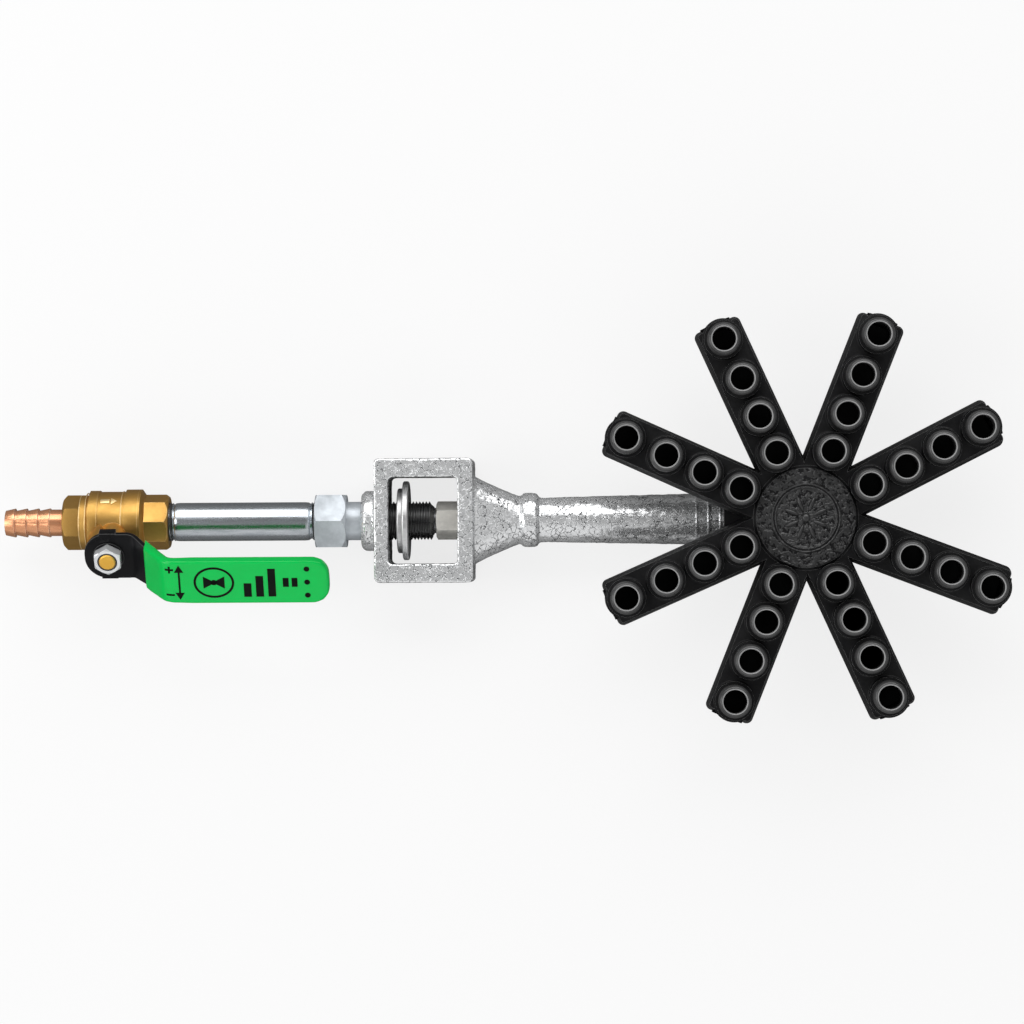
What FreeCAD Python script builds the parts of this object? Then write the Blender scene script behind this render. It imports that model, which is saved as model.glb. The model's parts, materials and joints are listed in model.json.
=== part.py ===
"""Multi-jet gas burner: an eight-armed cast star, a venturi mixer with an air shutter,
a ball valve with a lever and a hose barb, all on one pipe axis.

Millimetres. The origin is the centre of the hub's flat base, +Z is up the jets,
and the pipe runs out along -X to the hose barb.
"""
import FreeCAD, Part
import os
import re

import Sketcher

from FreeCAD import Placement, Rotation, Vector

# Each size has one row: name, value, meaning.
SIZES = [
    ("pipe_height", 21, "pipe axis above the plane that the burner stands on"),
    ("thread_gap", 0.05, "radial room between a screwed piece and its socket"),
    ("running_gap", 0.05, "radial room between a turning shaft and its bore"),
    ("seat_gap", 0.12, "room between the ball and its two seats"),
    ("over_cut", 1, "how far a cut or a joined solid runs past the face that it meets"),
    ("bevel_bite", 0.1, "how far a turned bevel cuts inside the flats at a polygon's end"),
    ("end_gap", 0.2, "room between the end of a screwed piece and the floor of its socket"),
    ("pipe_radius", 10.67, "half-inch pipe, outside"),
    ("pipe_bore", 7.9, "half-inch pipe, inside"),
    # Star casting
    ("near_arm_angle", 24, "arms beside the inlet and opposite it, from the pipe axis"),
    ("arm_sweep", 1.7, "how far those four arms are swept towards +Y"),
    ("side_arm_angle", 66.9, "arms at the sides, from the pipe axis"),
    ("star_turn", 1.4, "how far the whole arm pattern sits round from the pipe axis"),
    ("arm_reach", 116.3, "arm end from the hub axis"),
    ("arm_width", 27, "arm at its parting line"),
    ("arm_bottom", 36.5, "underside of the arms"),
    ("arm_parting", 48.5, "parting line, where the two drafts meet"),
    ("arm_top", 60.5, "top of the arms"),
    ("arm_top_draft", 8.5, "draft angle above the parting line"),
    ("arm_bottom_draft", 6, "draft angle below the parting line"),
    ("arm_corner", 3.5, "corner radius of an arm's end, in plan"),
    ("channel_width", 19, "gas channel inside an arm"),
    ("channel_rise", 14, "height of the gas channel"),
    ("channel_roof", 54.5, "roof of the gas channels and of the hub chamber"),
    ("arm_end_wall", 3.6, "wall between a channel and the arm's end"),
    ("hub_radius", 28.6, "hub drum under the arms"),
    ("hub_foot_radius", 26.8, "flat base of the hub"),
    ("hub_foot_round", 2, "bevel round the flat base"),
    ("hub_disc_radius", 27, "raised disc on top of the hub"),
    ("hub_disc_top", 62.6, "top of the raised disc"),
    ("bead_radius", 17.5, "ring bead on the hub disc, at its middle"),
    ("bead_width", 2.2, "ring bead across"),
    ("bead_rise", 0.8, "ring bead above the disc"),
    ("chamber_radius", 21.5, "gas chamber in the hub"),
    ("chamber_floor", 6.5, "floor of the gas chamber"),
    ("socket_radius", 19, "inlet socket of the star, outside"),
    ("socket_reach", 43.6, "mouth of the inlet socket from the hub axis"),
    ("socket_depth", 15.5, "threaded depth of the inlet socket"),
    # Jets and core plugs
    ("first_jet", 38.7, "innermost jet from the hub axis"),
    ("jet_end", 9.7, "outermost jet from the arm's end"),
    ("jet_spread", 0.044, "how much longer each step between jets is, as a share of the first"),
    ("jet_radius", 9, "jet tip, outside"),
    ("jet_bore", 6.4, "jet tip, inside"),
    ("jet_spigot", 7.4, "spigot of a jet tip inside its boss"),
    ("jet_lip", 0.9, "chamfer of the lip"),
    ("jet_top", 75, "lip of the jets"),
    ("jet_boss_radius", 10.6, "cast boss round a jet"),
    ("jet_boss_rise", 4, "boss above the arm's top"),
    ("jet_boss_root", 3, "boss sunk into the arm"),
    ("plug_hole", 5.8, "core hole in an arm's end"),
    ("plug_radius", 8.8, "head of a core plug"),
    ("plug_edge", 0.7, "straight edge of the plug's head"),
    ("plug_dome", 2.1, "how far the plug's head stands out"),
    ("plug_dome_curve", 28, "radius of the plug's domed face"),
    # Mixer casting
    ("collar_radius", 13.35, "threaded collar that screws into the star"),
    ("collar_show", 8.4, "part of the collar that stays outside the star's socket"),
    ("tube_shoulder", 7, "shoulder between the collar and the tube"),
    ("tube_length", 87, "tube from its shoulder to the bead"),
    ("tube_radius_star", 14.4, "tube near the star"),
    ("tube_radius_throat", 12.5, "tube near the bead"),
    ("throat_bead_radius", 15.25, "bead round the throat"),
    ("throat_bead_width", 9.3, "bead along the axis"),
    ("throat_bead_round", 2, "rounding of the bead"),
    ("funnel_length", 26.1, "funnel from the bead to the frame"),
    ("funnel_width", 49, "funnel's large end, across"),
    ("funnel_depth", 38, "funnel's large end, along Z"),
    ("funnel_corner", 12, "corner radius of the funnel's large end"),
    ("funnel_end_radius", 13, "funnel's small end"),
    ("funnel_hollow", 0.46, "share of the narrowing that is left half way along"),
    ("funnel_end_corner", 12.5, "corner radius of the funnel's small end"),
    ("frame_length", 55, "frame along the axis"),
    ("frame_width", 69, "frame across the axis"),
    ("frame_corner", 3, "outer corner radius of the frame"),
    ("window_near_bar", 9, "bar on the star side of the window"),
    ("window_far_bar", 8.2, "bar on the valve side of the window"),
    ("window_width", 47.6, "window across the axis"),
    ("window_corner", 2.2, "corner radius of the window"),
    ("boss_radius", 16.9, "boss that takes the threaded nipples"),
    ("boss_length", 7.8, "boss outside the frame"),
    ("boss_bevel", 2.2, "bevel of the boss"),
    ("bell_radius", 15.5, "bell mouth in the frame's near bar"),
    ("bell_length", 26, "length over which the bell narrows to the throat"),
    ("bell_curve", 60, "radius of the bell's curved wall"),
    ("throat_bore", 8.8, "narrowest bore of the venturi"),
    ("outlet_bore", 10.9, "bore of the venturi at the collar"),
    # Orifice nipple, hood, shutter and lock ring
    ("nipple_bore", 7.2, "bore of the orifice nipple"),
    ("nipple_clear", 14.3, "from the end of the full thread to the window's star side"),
    ("nose_radius", 7, "reduced nose that carries the hood"),
    ("nose_length", 11, "nose in front of the full thread"),
    ("nose_bore", 4.2, "bore of the nose"),
    ("nose_step", 4, "where the nipple's bore narrows, behind the end of the full thread"),
    ("thread_bevel", 1, "bevel at the end of the full thread"),
    ("hood_flats", 18.5, "hood across its flats"),
    ("hood_gap", 2.2, "bare nose between thread and hood"),
    ("hood_length", 14.5, "hood along the axis"),
    ("hood_bevel", 1.6, "bevel of the hood's corners"),
    ("orifice_bore", 1.6, "gas orifice in the hood"),
    ("shutter_radius", 21.95, "air shutter disc"),
    ("shutter_place", 10.6, "front face of the shutter from the window's valve side"),
    ("shutter_thickness", 3.4, "air shutter disc, thickness"),
    ("shutter_bevel", 0.6, "bevel of the shutter's rim"),
    ("ring_radius", 18, "lock ring behind the shutter"),
    ("ring_thickness", 3, "lock ring, thickness"),
    # Hex coupling and pipe nipple
    ("stub_show", 8.1, "bare stub between the mixer's boss and the coupling's hexagon"),
    ("coupling_length", 17.4, "coupling's hexagon along the axis"),
    ("coupling_flats", 29, "coupling across its flats"),
    ("coupling_bevel", 2.6, "bevel at the coupling's ends"),
    ("coupling_socket", 12.4, "depth of the coupling's pipe socket"),
    ("coupling_bore", 8, "gas bore through the coupling"),
    ("pipe_show", 81.4, "pipe nipple between the coupling and the valve"),
    ("pipe_in_valve", 12.4, "pipe nipple screwed into the valve"),
    # Ball valve body
    ("valve_length", 58.7, "valve from face to face"),
    ("octagon_flats", 28.4, "octagon end of the valve, across its flats"),
    ("octagon_length", 13, "octagon end along the axis"),
    ("octagon_bevel", 1.8, "bevel of the octagon's corners"),
    ("octagon_collar", 15.2, "round collar behind the octagon, where the slope starts"),
    ("stem_place", 29.9, "stem axis from the valve's star side"),
    ("ring_wide_radius", 18.3, "raised ring beside the octagon"),
    ("ring_wide_length", 8.5, "raised ring along the axis"),
    ("ring_slope", 2.1, "sloped shoulder beside the raised ring"),
    ("waist_radius", 17.1, "middle of the valve body"),
    ("waist_length", 14.9, "middle of the valve body, along the axis"),
    ("ring_far_radius", 17.7, "raised ring beside the cap"),
    ("ring_far_length", 5.3, "raised ring beside the cap, along the axis"),
    ("neck_radius", 15.2, "valve body next to the cap"),
    ("valve_bore", 7.3, "gas way through the valve"),
    ("cavity_radius", 12.4, "ball cavity of the valve"),
    ("cavity_reach", 11.8, "half length of the ball cavity"),
    ("cap_flats", 26.4, "end cap across its flats"),
    ("cap_length", 10, "end cap's hexagon along the axis"),
    ("cap_bevel", 1.8, "bevel of the cap's corners"),
    ("cap_thread", 13.2, "thread of the end cap"),
    # Ball, seats and stem stack, along the tilted stem axis
    ("stem_tilt", 30.5, "stem axis leans from straight up towards -Y"),
    ("ball_radius", 11.4, "ball"),
    ("seat_thickness", 4.4, "seat rings along the pipe axis"),
    ("slot_depth", 3, "slot in the ball for the stem"),
    ("tang_thickness", 2.6, "flat tang of the stem"),
    ("tang_width", 9, "tang across"),
    ("stem_radius", 5.5, "stem inside the bonnet"),
    ("flange_radius", 6.7, "stem's retaining flange"),
    ("flange_start", 11.9, "underside of the flange"),
    ("flange_thickness", 1.6, "retaining flange"),
    ("washer_thickness", 0.8, "thrust washer above the flange"),
    ("bonnet_radius", 8.5, "bonnet round the stem"),
    ("bonnet_top", 26, "top of the bonnet"),
    ("packing_floor", 18, "floor of the packing chamber"),
    ("packing_radius", 7.2, "packing chamber"),
    ("packing_depth", 4, "packing rings"),
    ("gland_flats", 15, "packing nut across its flats"),
    ("nut_room", 0.5, "radial room between the packing nut's corners and the stop ear"),
    ("gland_top", 32, "top of the packing nut"),
    ("lever_seat", 34.5, "underside of the lever plate"),
    ("stem_flat", 4.7, "half width of the stem between its two flats"),
    ("stem_thread", 4.55, "threaded end of the stem"),
    ("stem_top", 44.2, "free end of the stem"),
    ("stem_bevel", 0.6, "bevel of the stem's free end"),
    ("tang_gap", 0.3, "room between the tang and the floor of the ball's slot"),
    # Lever
    ("lever_thickness", 2.6, "lever plate"),
    ("lever_width", 27.6, "lever plate across, at its eye"),
    ("handle_width", 24.1, "lever plate across, inside the grip"),
    ("eye_reach", 13.2, "rounded end of the lever plate, from the stem axis"),
    ("lever_reach", 120, "end of the lever plate from the stem axis"),
    ("eye_corner", 12.6, "corner radius of the lever's eye"),
    ("bend_start", 11, "first bend from the stem axis"),
    ("bend_radius", 6, "bend of the plate at its middle"),
    ("bend_angle", 52, "slope between the two bends"),
    ("bend_rise", 27, "grip above the lever's eye"),
    ("lug_width", 9, "stop lugs of the lever, along the edge"),
    ("lug_drop", 3, "stop lugs below the plate"),
    ("lug_stand", 0.4, "stop lugs beyond the plate's edge"),
    ("stop_reach", 13.4, "stop ear on the bonnet, from the stem axis"),
    ("stop_top", 33.4, "top of the stop ear, from the pipe axis"),
    ("stop_root", 3, "stop ear's underside below the bonnet's top"),
    ("stop_play", 1, "angle left between lug and ear at either end of the travel"),
    ("grip_start", 21, "grip begins, from the stem axis"),
    ("grip_wall", 1.7, "grip's wall over the plate's faces"),
    ("grip_side_wall", 1.2, "grip's wall over the plate's edges"),
    ("grip_end_wall", 3, "grip beyond the plate's end"),
    ("grip_corner", 9.5, "corner radius of the grip's end"),
    ("lock_washer_radius", 8.6, "washer under the lever nut"),
    ("lock_washer_thickness", 0.8, "washer under the lever nut, thickness"),
    ("nut_flats", 14.3, "lever nut across its flats"),
    ("nut_height", 5.6, "lever nut"),
    ("nut_bevel", 0.7, "bevel of the nut's corners"),
    ("insert_radius", 5.4, "locking insert in the lever nut"),
    ("insert_depth", 1.8, "locking insert, height"),
    # Hose barb
    ("barb_reach", 32.8, "hose barb outside the valve"),
    ("barb_root", 6.8, "barb between its ridges"),
    ("barb_plain", 7.4, "plain root of the barb"),
    ("barb_crest", 8.1, "top of a ridge"),
    ("barb_tip", 6.9, "free end of the barb"),
    ("barb_pitch", 6.5, "step from ridge to ridge"),
    ("barb_first", 5.4, "first ridge from the free end"),
    ("barb_drop", 0.3, "length of a ridge's steep side"),
    ("barb_bore", 4.8, "gas way through the barb"),
    ("barb_seat", 9, "root of the barb inside the valve's cap"),
]

JETS_PER_ARM = 4
BARB_RIDGES = 4
ARMS = [
    "star_turn + near_arm_angle + arm_sweep",
    "star_turn + side_arm_angle",
    "star_turn + 180 - side_arm_angle",
    "star_turn + 180 - near_arm_angle - arm_sweep",
    "star_turn + 180 + near_arm_angle - arm_sweep",
    "star_turn + 180 + side_arm_angle",
    "star_turn - side_arm_angle",
    "star_turn - near_arm_angle + arm_sweep",
]
COLLAR_END = "(socket_reach + collar_show)"
TUBE_START = "(%s + tube_shoulder)" % COLLAR_END
TUBE_END = "(%s + tube_length)" % TUBE_START
FRAME_NEAR = "(%s + throat_bead_width + funnel_length)" % TUBE_END
FRAME_FAR = "(%s + frame_length)" % FRAME_NEAR
NIPPLE_END = "(%s + window_near_bar + nipple_clear)" % FRAME_NEAR
SHUTTER_FACE = "(%s - window_far_bar - shutter_place)" % FRAME_FAR
COUPLING_START = "(%s + boss_length + stub_show)" % FRAME_FAR
VALVE_START = "(%s + coupling_length + pipe_show)" % COUPLING_START
LEVER_MIDDLE = "lever_seat + lever_thickness / 2"
NUT_SEAT = "lever_seat + lever_thickness + lock_washer_thickness"
STEM_X = "-%s - stem_place" % VALVE_START
VALVE_END = "-%s - valve_length" % VALVE_START

doc = FreeCAD.newDocument("GasBurner")
sheet = doc.addObject("Spreadsheet::Sheet", "Sizes")
for row, (alias, value, meaning) in enumerate(SIZES, 1):
    sheet.set("A%d" % row, alias)
    sheet.set("B%d" % row, str(value))
    sheet.set("C%d" % row, meaning)
    sheet.setAlias("B%d" % row, alias)
doc.recompute()

pieces = []


def formula(text):
    """The text with every size's name pointed at the sheet."""
    return re.sub(r"[a-z]+(?:_[a-z]+)+", lambda found: "Sizes." + found.group(0), str(text))


def number(text):
    """What a formula gives now."""
    return float(sheet.evalExpression(formula(text)))


def bind(thing, **sizes):
    """Ties properties to formulas; a double underscore stands for the dot in a property's path."""
    for path, text in sizes.items():
        thing.setExpression(path.replace("__", "."), formula(text))


def piece(thing, label):
    """Takes a finished object as a sub-part under its own label."""
    thing.Label = label
    pieces.append(thing)
    return thing


def new_body(name, x="0", z="0"):
    body = doc.addObject("PartDesign::Body", name)
    bind(body, Placement__Base__x=x, Placement__Base__z=z)
    return body


def stem_body(name):
    """A body whose own +Z is the tilted stem axis and whose origin is on the pipe axis."""
    body = doc.addObject("PartDesign::Body", name)
    body.Placement = Placement(Vector(), Rotation(Vector(1, 0, 0), 1))
    bind(body, Placement__Base__x=STEM_X, Placement__Base__z="pipe_height",
         Placement__Rotation__Angle="stem_tilt")
    return body


def new_sketch(body, name, plane, lift="0", turn=None, axis=None):
    """A sketch on an origin plane, lifted along its normal and, if asked, turned about an axis."""
    sketch = body.newObject("Sketcher::SketchObject", name)
    support = [feature for feature in body.Origin.OriginFeatures if feature.Role == plane]
    sketch.AttachmentSupport = (support[0], [""])
    sketch.MapMode = "FlatFace"
    if turn is not None:
        sketch.AttachmentOffset = Placement(Vector(), Rotation(axis, 1))
        bind(sketch, AttachmentOffset__Rotation__Angle=turn)
    bind(sketch, AttachmentOffset__Base__z=lift)
    return sketch


def arc_between(start, end, radius):
    """The short arc from start to end; a positive radius has its centre on the left."""
    half = (end - start) * 0.5
    left = Vector(-half.y, half.x, 0).normalize()
    depth = (radius * radius - half.Length ** 2) ** 0.5
    side = 1 if radius > 0 else -1
    centre = start + half + left * depth * side
    middle = centre + (start + half - centre).normalize() * abs(radius)
    return Part.Arc(start, middle, end)


def hold_point(sketch, line, end, x, y):
    """Fixes one end of a line at two formulas."""
    for kind, text, axis in (("DistanceX", x, -2), ("DistanceY", y, -1)):
        if text == "0":
            sketch.addConstraint(Sketcher.Constraint("PointOnObject", line, end, axis))
            continue
        index = sketch.addConstraint(Sketcher.Constraint(kind, -1, 1, line, end, number(text)))
        sketch.setExpression("Constraints[%d]" % index, formula(text))


def draw_path(sketch, points):
    """A closed outline; a point with a third value starts an arc of that radius."""
    places = [Vector(number(point[0]), number(point[1]), 0) for point in points]
    first = sketch.GeometryCount
    ends = []
    for index, point in enumerate(points):
        start = places[index]
        end = places[(index + 1) % len(points)]
        if len(point) == 2:
            sketch.addGeometry(Part.LineSegment(start, end), False)
            ends.append((1, 2))
            continue
        radius = number(point[2])
        line = sketch.addGeometry(arc_between(start, end, radius), False)
        ends.append((1, 2) if radius > 0 else (2, 1))
        rule = sketch.addConstraint(Sketcher.Constraint("Radius", line, abs(radius)))
        sketch.setExpression("Constraints[%d]" % rule, formula("abs(%s)" % point[2]))
    for index, point in enumerate(points):
        line = first + index
        after = first + (index + 1) % len(points)
        meet = Sketcher.Constraint("Coincident", line, ends[index][1], after, ends[after - first][0])
        sketch.addConstraint(meet)
        hold_point(sketch, line, ends[index][0], point[0], point[1])


def draw_circle(sketch, x, y, radius):
    centre = Vector(number(x), number(y), 0)
    circle = sketch.addGeometry(Part.Circle(centre, Vector(0, 0, 1), number(radius)), False)
    rule = sketch.addConstraint(Sketcher.Constraint("Radius", circle, number(radius)))
    sketch.setExpression("Constraints[%d]" % rule, formula(radius))
    hold_point(sketch, circle, 3, x, y)


def draw_box(sketch, left, right, low, high, corner=None):
    """A rectangle from four formulas, with rounded corners if a radius is given."""
    if corner is None:
        draw_path(sketch, [(left, low), (right, low), (right, high), (left, high)])
        return
    inner_left = "%s + (%s)" % (left, corner)
    inner_right = "%s - (%s)" % (right, corner)
    inner_low = "%s + (%s)" % (low, corner)
    inner_high = "%s - (%s)" % (high, corner)
    draw_path(sketch, [
        (inner_left, low), (inner_right, low, corner),
        (right, inner_low), (right, inner_high, corner),
        (inner_right, high), (inner_left, high, corner),
        (left, inner_high), (left, inner_low, corner),
    ])


def draw_polygon(sketch, sides, flats, first_angle):
    """A regular polygon round the sketch's origin, by its size across flats."""
    reach = "%s / 2 / cos(%g)" % (flats, 180 / sides)
    points = []
    for index in range(sides):
        angle = first_angle + index * 360 / sides
        points.append(("%s * cos(%g)" % (reach, angle), "%s * sin(%g)" % (reach, angle)))
    draw_path(sketch, points)


def pad(body, sketch, length, other=None, drafts=None):
    """Adds a prism along the sketch's normal, and below it too if a second length is given."""
    feature = body.newObject("PartDesign::Pad", sketch.Name + "Pad")
    feature.Profile = sketch
    bind(feature, Length=length)
    if other is not None:
        feature.SideType = "Two sides"
        bind(feature, Length2=other)
    if drafts is not None:
        bind(feature, TaperAngle=drafts[0], TaperAngle2=drafts[1])
    doc.recompute()
    return feature


def check_cut(body, before):
    """A cut that points away from the solid removes nothing, so the volumes are compared."""
    doc.recompute()
    if not body.Shape.Volume < before - 1e-6:
        raise RuntimeError("%s: the last cut removed nothing" % body.Name)


def pocket(body, sketch, length, other=None):
    """Cuts a prism against the sketch's normal, and along it too if a second length is given."""
    before = body.Shape.Volume
    feature = body.newObject("PartDesign::Pocket", sketch.Name + "Pocket")
    feature.Profile = sketch
    bind(feature, Length=length)
    if other is not None:
        feature.SideType = "Two sides"
        bind(feature, Length2=other)
    check_cut(body, before)
    return feature


def revolve(body, name, points, axis="H_Axis"):
    """Turns an outline on the XZ plane about the local X or Z axis."""
    sketch = new_sketch(body, name, "XZ_Plane")
    draw_path(sketch, points)
    feature = body.newObject("PartDesign::Revolution", name + "Turned")
    feature.Profile = sketch
    feature.ReferenceAxis = (sketch, [axis])
    feature.Angle = 360
    doc.recompute()
    return feature


def groove(body, name, points, axis="H_Axis"):
    """Cuts what an outline on the XZ plane sweeps about the local X or Z axis."""
    before = body.Shape.Volume
    sketch = new_sketch(body, name, "XZ_Plane")
    draw_path(sketch, points)
    feature = body.newObject("PartDesign::Groove", name + "Groove")
    feature.Profile = sketch
    feature.ReferenceAxis = (sketch, [axis])
    feature.Angle = 360
    check_cut(body, before)
    return feature


def bevel_polygon(body, name, end, inward, flats, sides, bevel, axis="H_Axis"):
    """Turns the corners off one end of a polygonal piece, as a lathe does."""
    corner = "%s / 2 / cos(%g)" % (flats, 180 / sides)
    over = "%s + over_cut" % corner
    outline = [
        (end, "%s / 2 - bevel_bite" % flats), (end, over),
        ("%s + %s * (%s)" % (end, inward, bevel), over),
        ("%s + %s * (%s)" % (end, inward, bevel), corner),
    ]
    if axis == "V_Axis":
        outline = [(radius, place) for place, radius in outline]
    groove(body, name, outline, axis)


def cylinder_tube(label, body, inner, outer, low, high, axis="V_Axis"):
    """A plain ring or bush between two places on its axis."""
    outline = [(inner, low), (outer, low), (outer, high), (inner, high)]
    if axis == "H_Axis":
        outline = [(place, radius) for radius, place in outline]
    revolve(body, label + "_profile", outline, axis)
    return piece(body, label)


def jet_place(index):
    """Radius of a jet from the hub axis; the steps grow and the last jet keeps to the arm's end."""
    steps = "(%d + %g * jet_spread)" % (index, index * (index - 1) / 2)
    last = JETS_PER_ARM - 1
    all_steps = "(%d + %g * jet_spread)" % (last, last * (last - 1) / 2)
    return "(first_jet + (arm_reach - jet_end - first_jet) * %s / %s)" % (steps, all_steps)


def draw_jet_circles(sketch, radius):
    for index in range(JETS_PER_ARM):
        draw_circle(sketch, jet_place(index), "0", radius)


def links_at(name, source, places):
    """Links to one body, each at its own place: x, y, z and a turn about Z."""
    links = []
    for index, (x, y, z, angle) in enumerate(places):
        link = doc.addObject("App::Link", "%s_%d" % (name, index))
        link.LinkedObject = source
        link.Placement = Placement(Vector(), Rotation(Vector(0, 0, 1), 1))
        bind(link, Placement__Base__x=x, Placement__Base__y=y, Placement__Base__z=z,
             Placement__Rotation__Angle=angle)
        links.append(link)
    return links


def group(label, links):
    """One node that holds several equal solids."""
    compound = doc.addObject("Part::Compound", label + "_group")
    compound.Links = links
    piece(compound, label)


def fuse(name, things):
    whole = doc.addObject("Part::MultiFuse", name)
    whole.Shapes = things
    return whole


def make_arm():
    """One arm of the star, along +X: drafted both ways from its parting line, with the jet bosses."""
    arm = new_body("Arm")
    outline = new_sketch(arm, "ArmOutline", "XY_Plane", "arm_parting")
    draw_path(outline, [
        ("hub_radius / 3", "-arm_width / 2"),
        ("arm_reach - arm_corner", "-arm_width / 2", "arm_corner"),
        ("arm_reach", "-arm_width / 2 + arm_corner"),
        ("arm_reach", "arm_width / 2 - arm_corner", "arm_corner"),
        ("arm_reach - arm_corner", "arm_width / 2"),
        ("hub_radius / 3", "arm_width / 2"),
    ])
    pad(arm, outline, "arm_top - arm_parting", "arm_parting - arm_bottom",
        ("-arm_top_draft", "-arm_bottom_draft"))
    bosses = new_sketch(arm, "Bosses", "XY_Plane", "arm_top - jet_boss_root")
    draw_jet_circles(bosses, "jet_boss_radius")
    pad(arm, bosses, "jet_boss_root + jet_boss_rise")
    return arm


def make_arm_core():
    """The hollow of one arm: gas channel, core hole in the end and the holes of the jets."""
    core = new_body("ArmCore")
    channel = new_sketch(core, "Channel", "XY_Plane", "channel_roof - channel_rise")
    draw_box(channel, "chamber_radius / 2", "arm_reach - arm_end_wall",
             "-channel_width / 2", "channel_width / 2")
    pad(core, channel, "channel_rise")
    hole = new_sketch(core, "CoreHole", "YZ_Plane", "arm_reach - arm_end_wall - over_cut")
    draw_circle(hole, "0", "arm_parting", "plug_hole")
    pad(core, hole, "arm_end_wall + 2 * over_cut")
    jets = new_sketch(core, "JetHoles", "XY_Plane", "channel_roof - over_cut")
    draw_jet_circles(jets, "jet_spigot + thread_gap")
    pad(core, jets, "arm_top + jet_boss_rise - channel_roof + 2 * over_cut")
    return core


def make_hub():
    """The hub: drum, flat foot, raised disc with its ring bead, and the inlet socket."""
    hub = new_body("HubBody")
    revolve(hub, "Hub", [
        ("0", "0"), ("hub_foot_radius - hub_foot_round", "0"),
        ("hub_foot_radius", "hub_foot_round"), ("hub_radius", "arm_bottom"),
        ("hub_radius", "arm_top"), ("hub_disc_radius", "hub_disc_top"),
        ("bead_radius + bead_width / 2", "hub_disc_top"),
        ("bead_radius + bead_width / 4", "hub_disc_top + bead_rise"),
        ("bead_radius - bead_width / 4", "hub_disc_top + bead_rise"),
        ("bead_radius - bead_width / 2", "hub_disc_top"), ("0", "hub_disc_top"),
    ], "V_Axis")
    socket = new_sketch(hub, "Socket", "YZ_Plane", "-socket_reach")
    draw_circle(socket, "0", "pipe_height", "socket_radius")
    pad(hub, socket, "socket_reach - chamber_radius / 2")
    return hub


def make_chamber():
    """The hollow of the hub: gas chamber, threaded inlet and the way between them."""
    chamber = new_body("ChamberBody")
    revolve(chamber, "Chamber", [
        ("0", "chamber_floor"), ("chamber_radius", "chamber_floor"),
        ("chamber_radius", "channel_roof"), ("0", "channel_roof"),
    ], "V_Axis")
    thread = new_sketch(chamber, "InletThread", "YZ_Plane", "-socket_reach - over_cut")
    draw_circle(thread, "0", "pipe_height", "collar_radius + thread_gap")
    pad(chamber, thread, "socket_depth + over_cut")
    way = new_sketch(chamber, "InletWay", "YZ_Plane", "-socket_reach + socket_depth - over_cut")
    draw_circle(way, "0", "pipe_height", "outlet_bore")
    pad(chamber, way, "socket_reach - socket_depth + over_cut")
    return chamber


def make_star():
    """The cast star: a hub and eight hollow arms, less everything that its cores leave open."""
    places = [("0", "0", "0", angle) for angle in ARMS]
    outside = fuse("StarOutside", [make_hub()] + links_at("Arm", make_arm(), places))
    inside = fuse("StarInside", [make_chamber()] + links_at("ArmCore", make_arm_core(), places))
    star = doc.addObject("Part::Cut", "Star")
    star.Base = outside
    star.Tool = inside
    star.Refine = True
    piece(star, "burner_star")


def make_jets():
    """The jet tips: open tubes with a chamfered lip and a spigot seated in the arm's boss."""
    tip = new_body("JetTip")
    shoulder = "arm_top + jet_boss_rise"
    revolve(tip, "JetTipProfile", [
        ("jet_bore", "channel_roof"), ("jet_spigot", "channel_roof"), ("jet_spigot", shoulder),
        ("jet_radius", shoulder), ("jet_radius", "jet_top"), ("jet_bore + jet_lip", "jet_top"),
        ("jet_bore", "jet_top - jet_lip"),
    ], "V_Axis")
    for number_of_arm, angle in enumerate(ARMS, 1):
        places = []
        for index in range(JETS_PER_ARM):
            x = "%s * cos(%s)" % (jet_place(index), angle)
            y = "%s * sin(%s)" % (jet_place(index), angle)
            places.append((x, y, "0", "0"))
        label = "jet_tips_arm_%d" % number_of_arm
        group(label, links_at(label, tip, places))


def make_core_plugs():
    """Domed plugs that close the core holes at the arms' ends."""
    plug = new_body("CorePlug")
    revolve(plug, "CorePlugProfile", [
        ("arm_reach - arm_end_wall", "0"),
        ("arm_reach + plug_dome", "0", "-plug_dome_curve"),
        ("arm_reach + plug_edge", "plug_radius"), ("arm_reach", "plug_radius"),
        ("arm_reach", "plug_hole - thread_gap"),
        ("arm_reach - arm_end_wall", "plug_hole - thread_gap"),
    ])
    places = [("0", "0", "arm_parting", angle) for angle in ARMS]
    group("core_plugs", links_at("core_plugs", plug, places))


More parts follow.
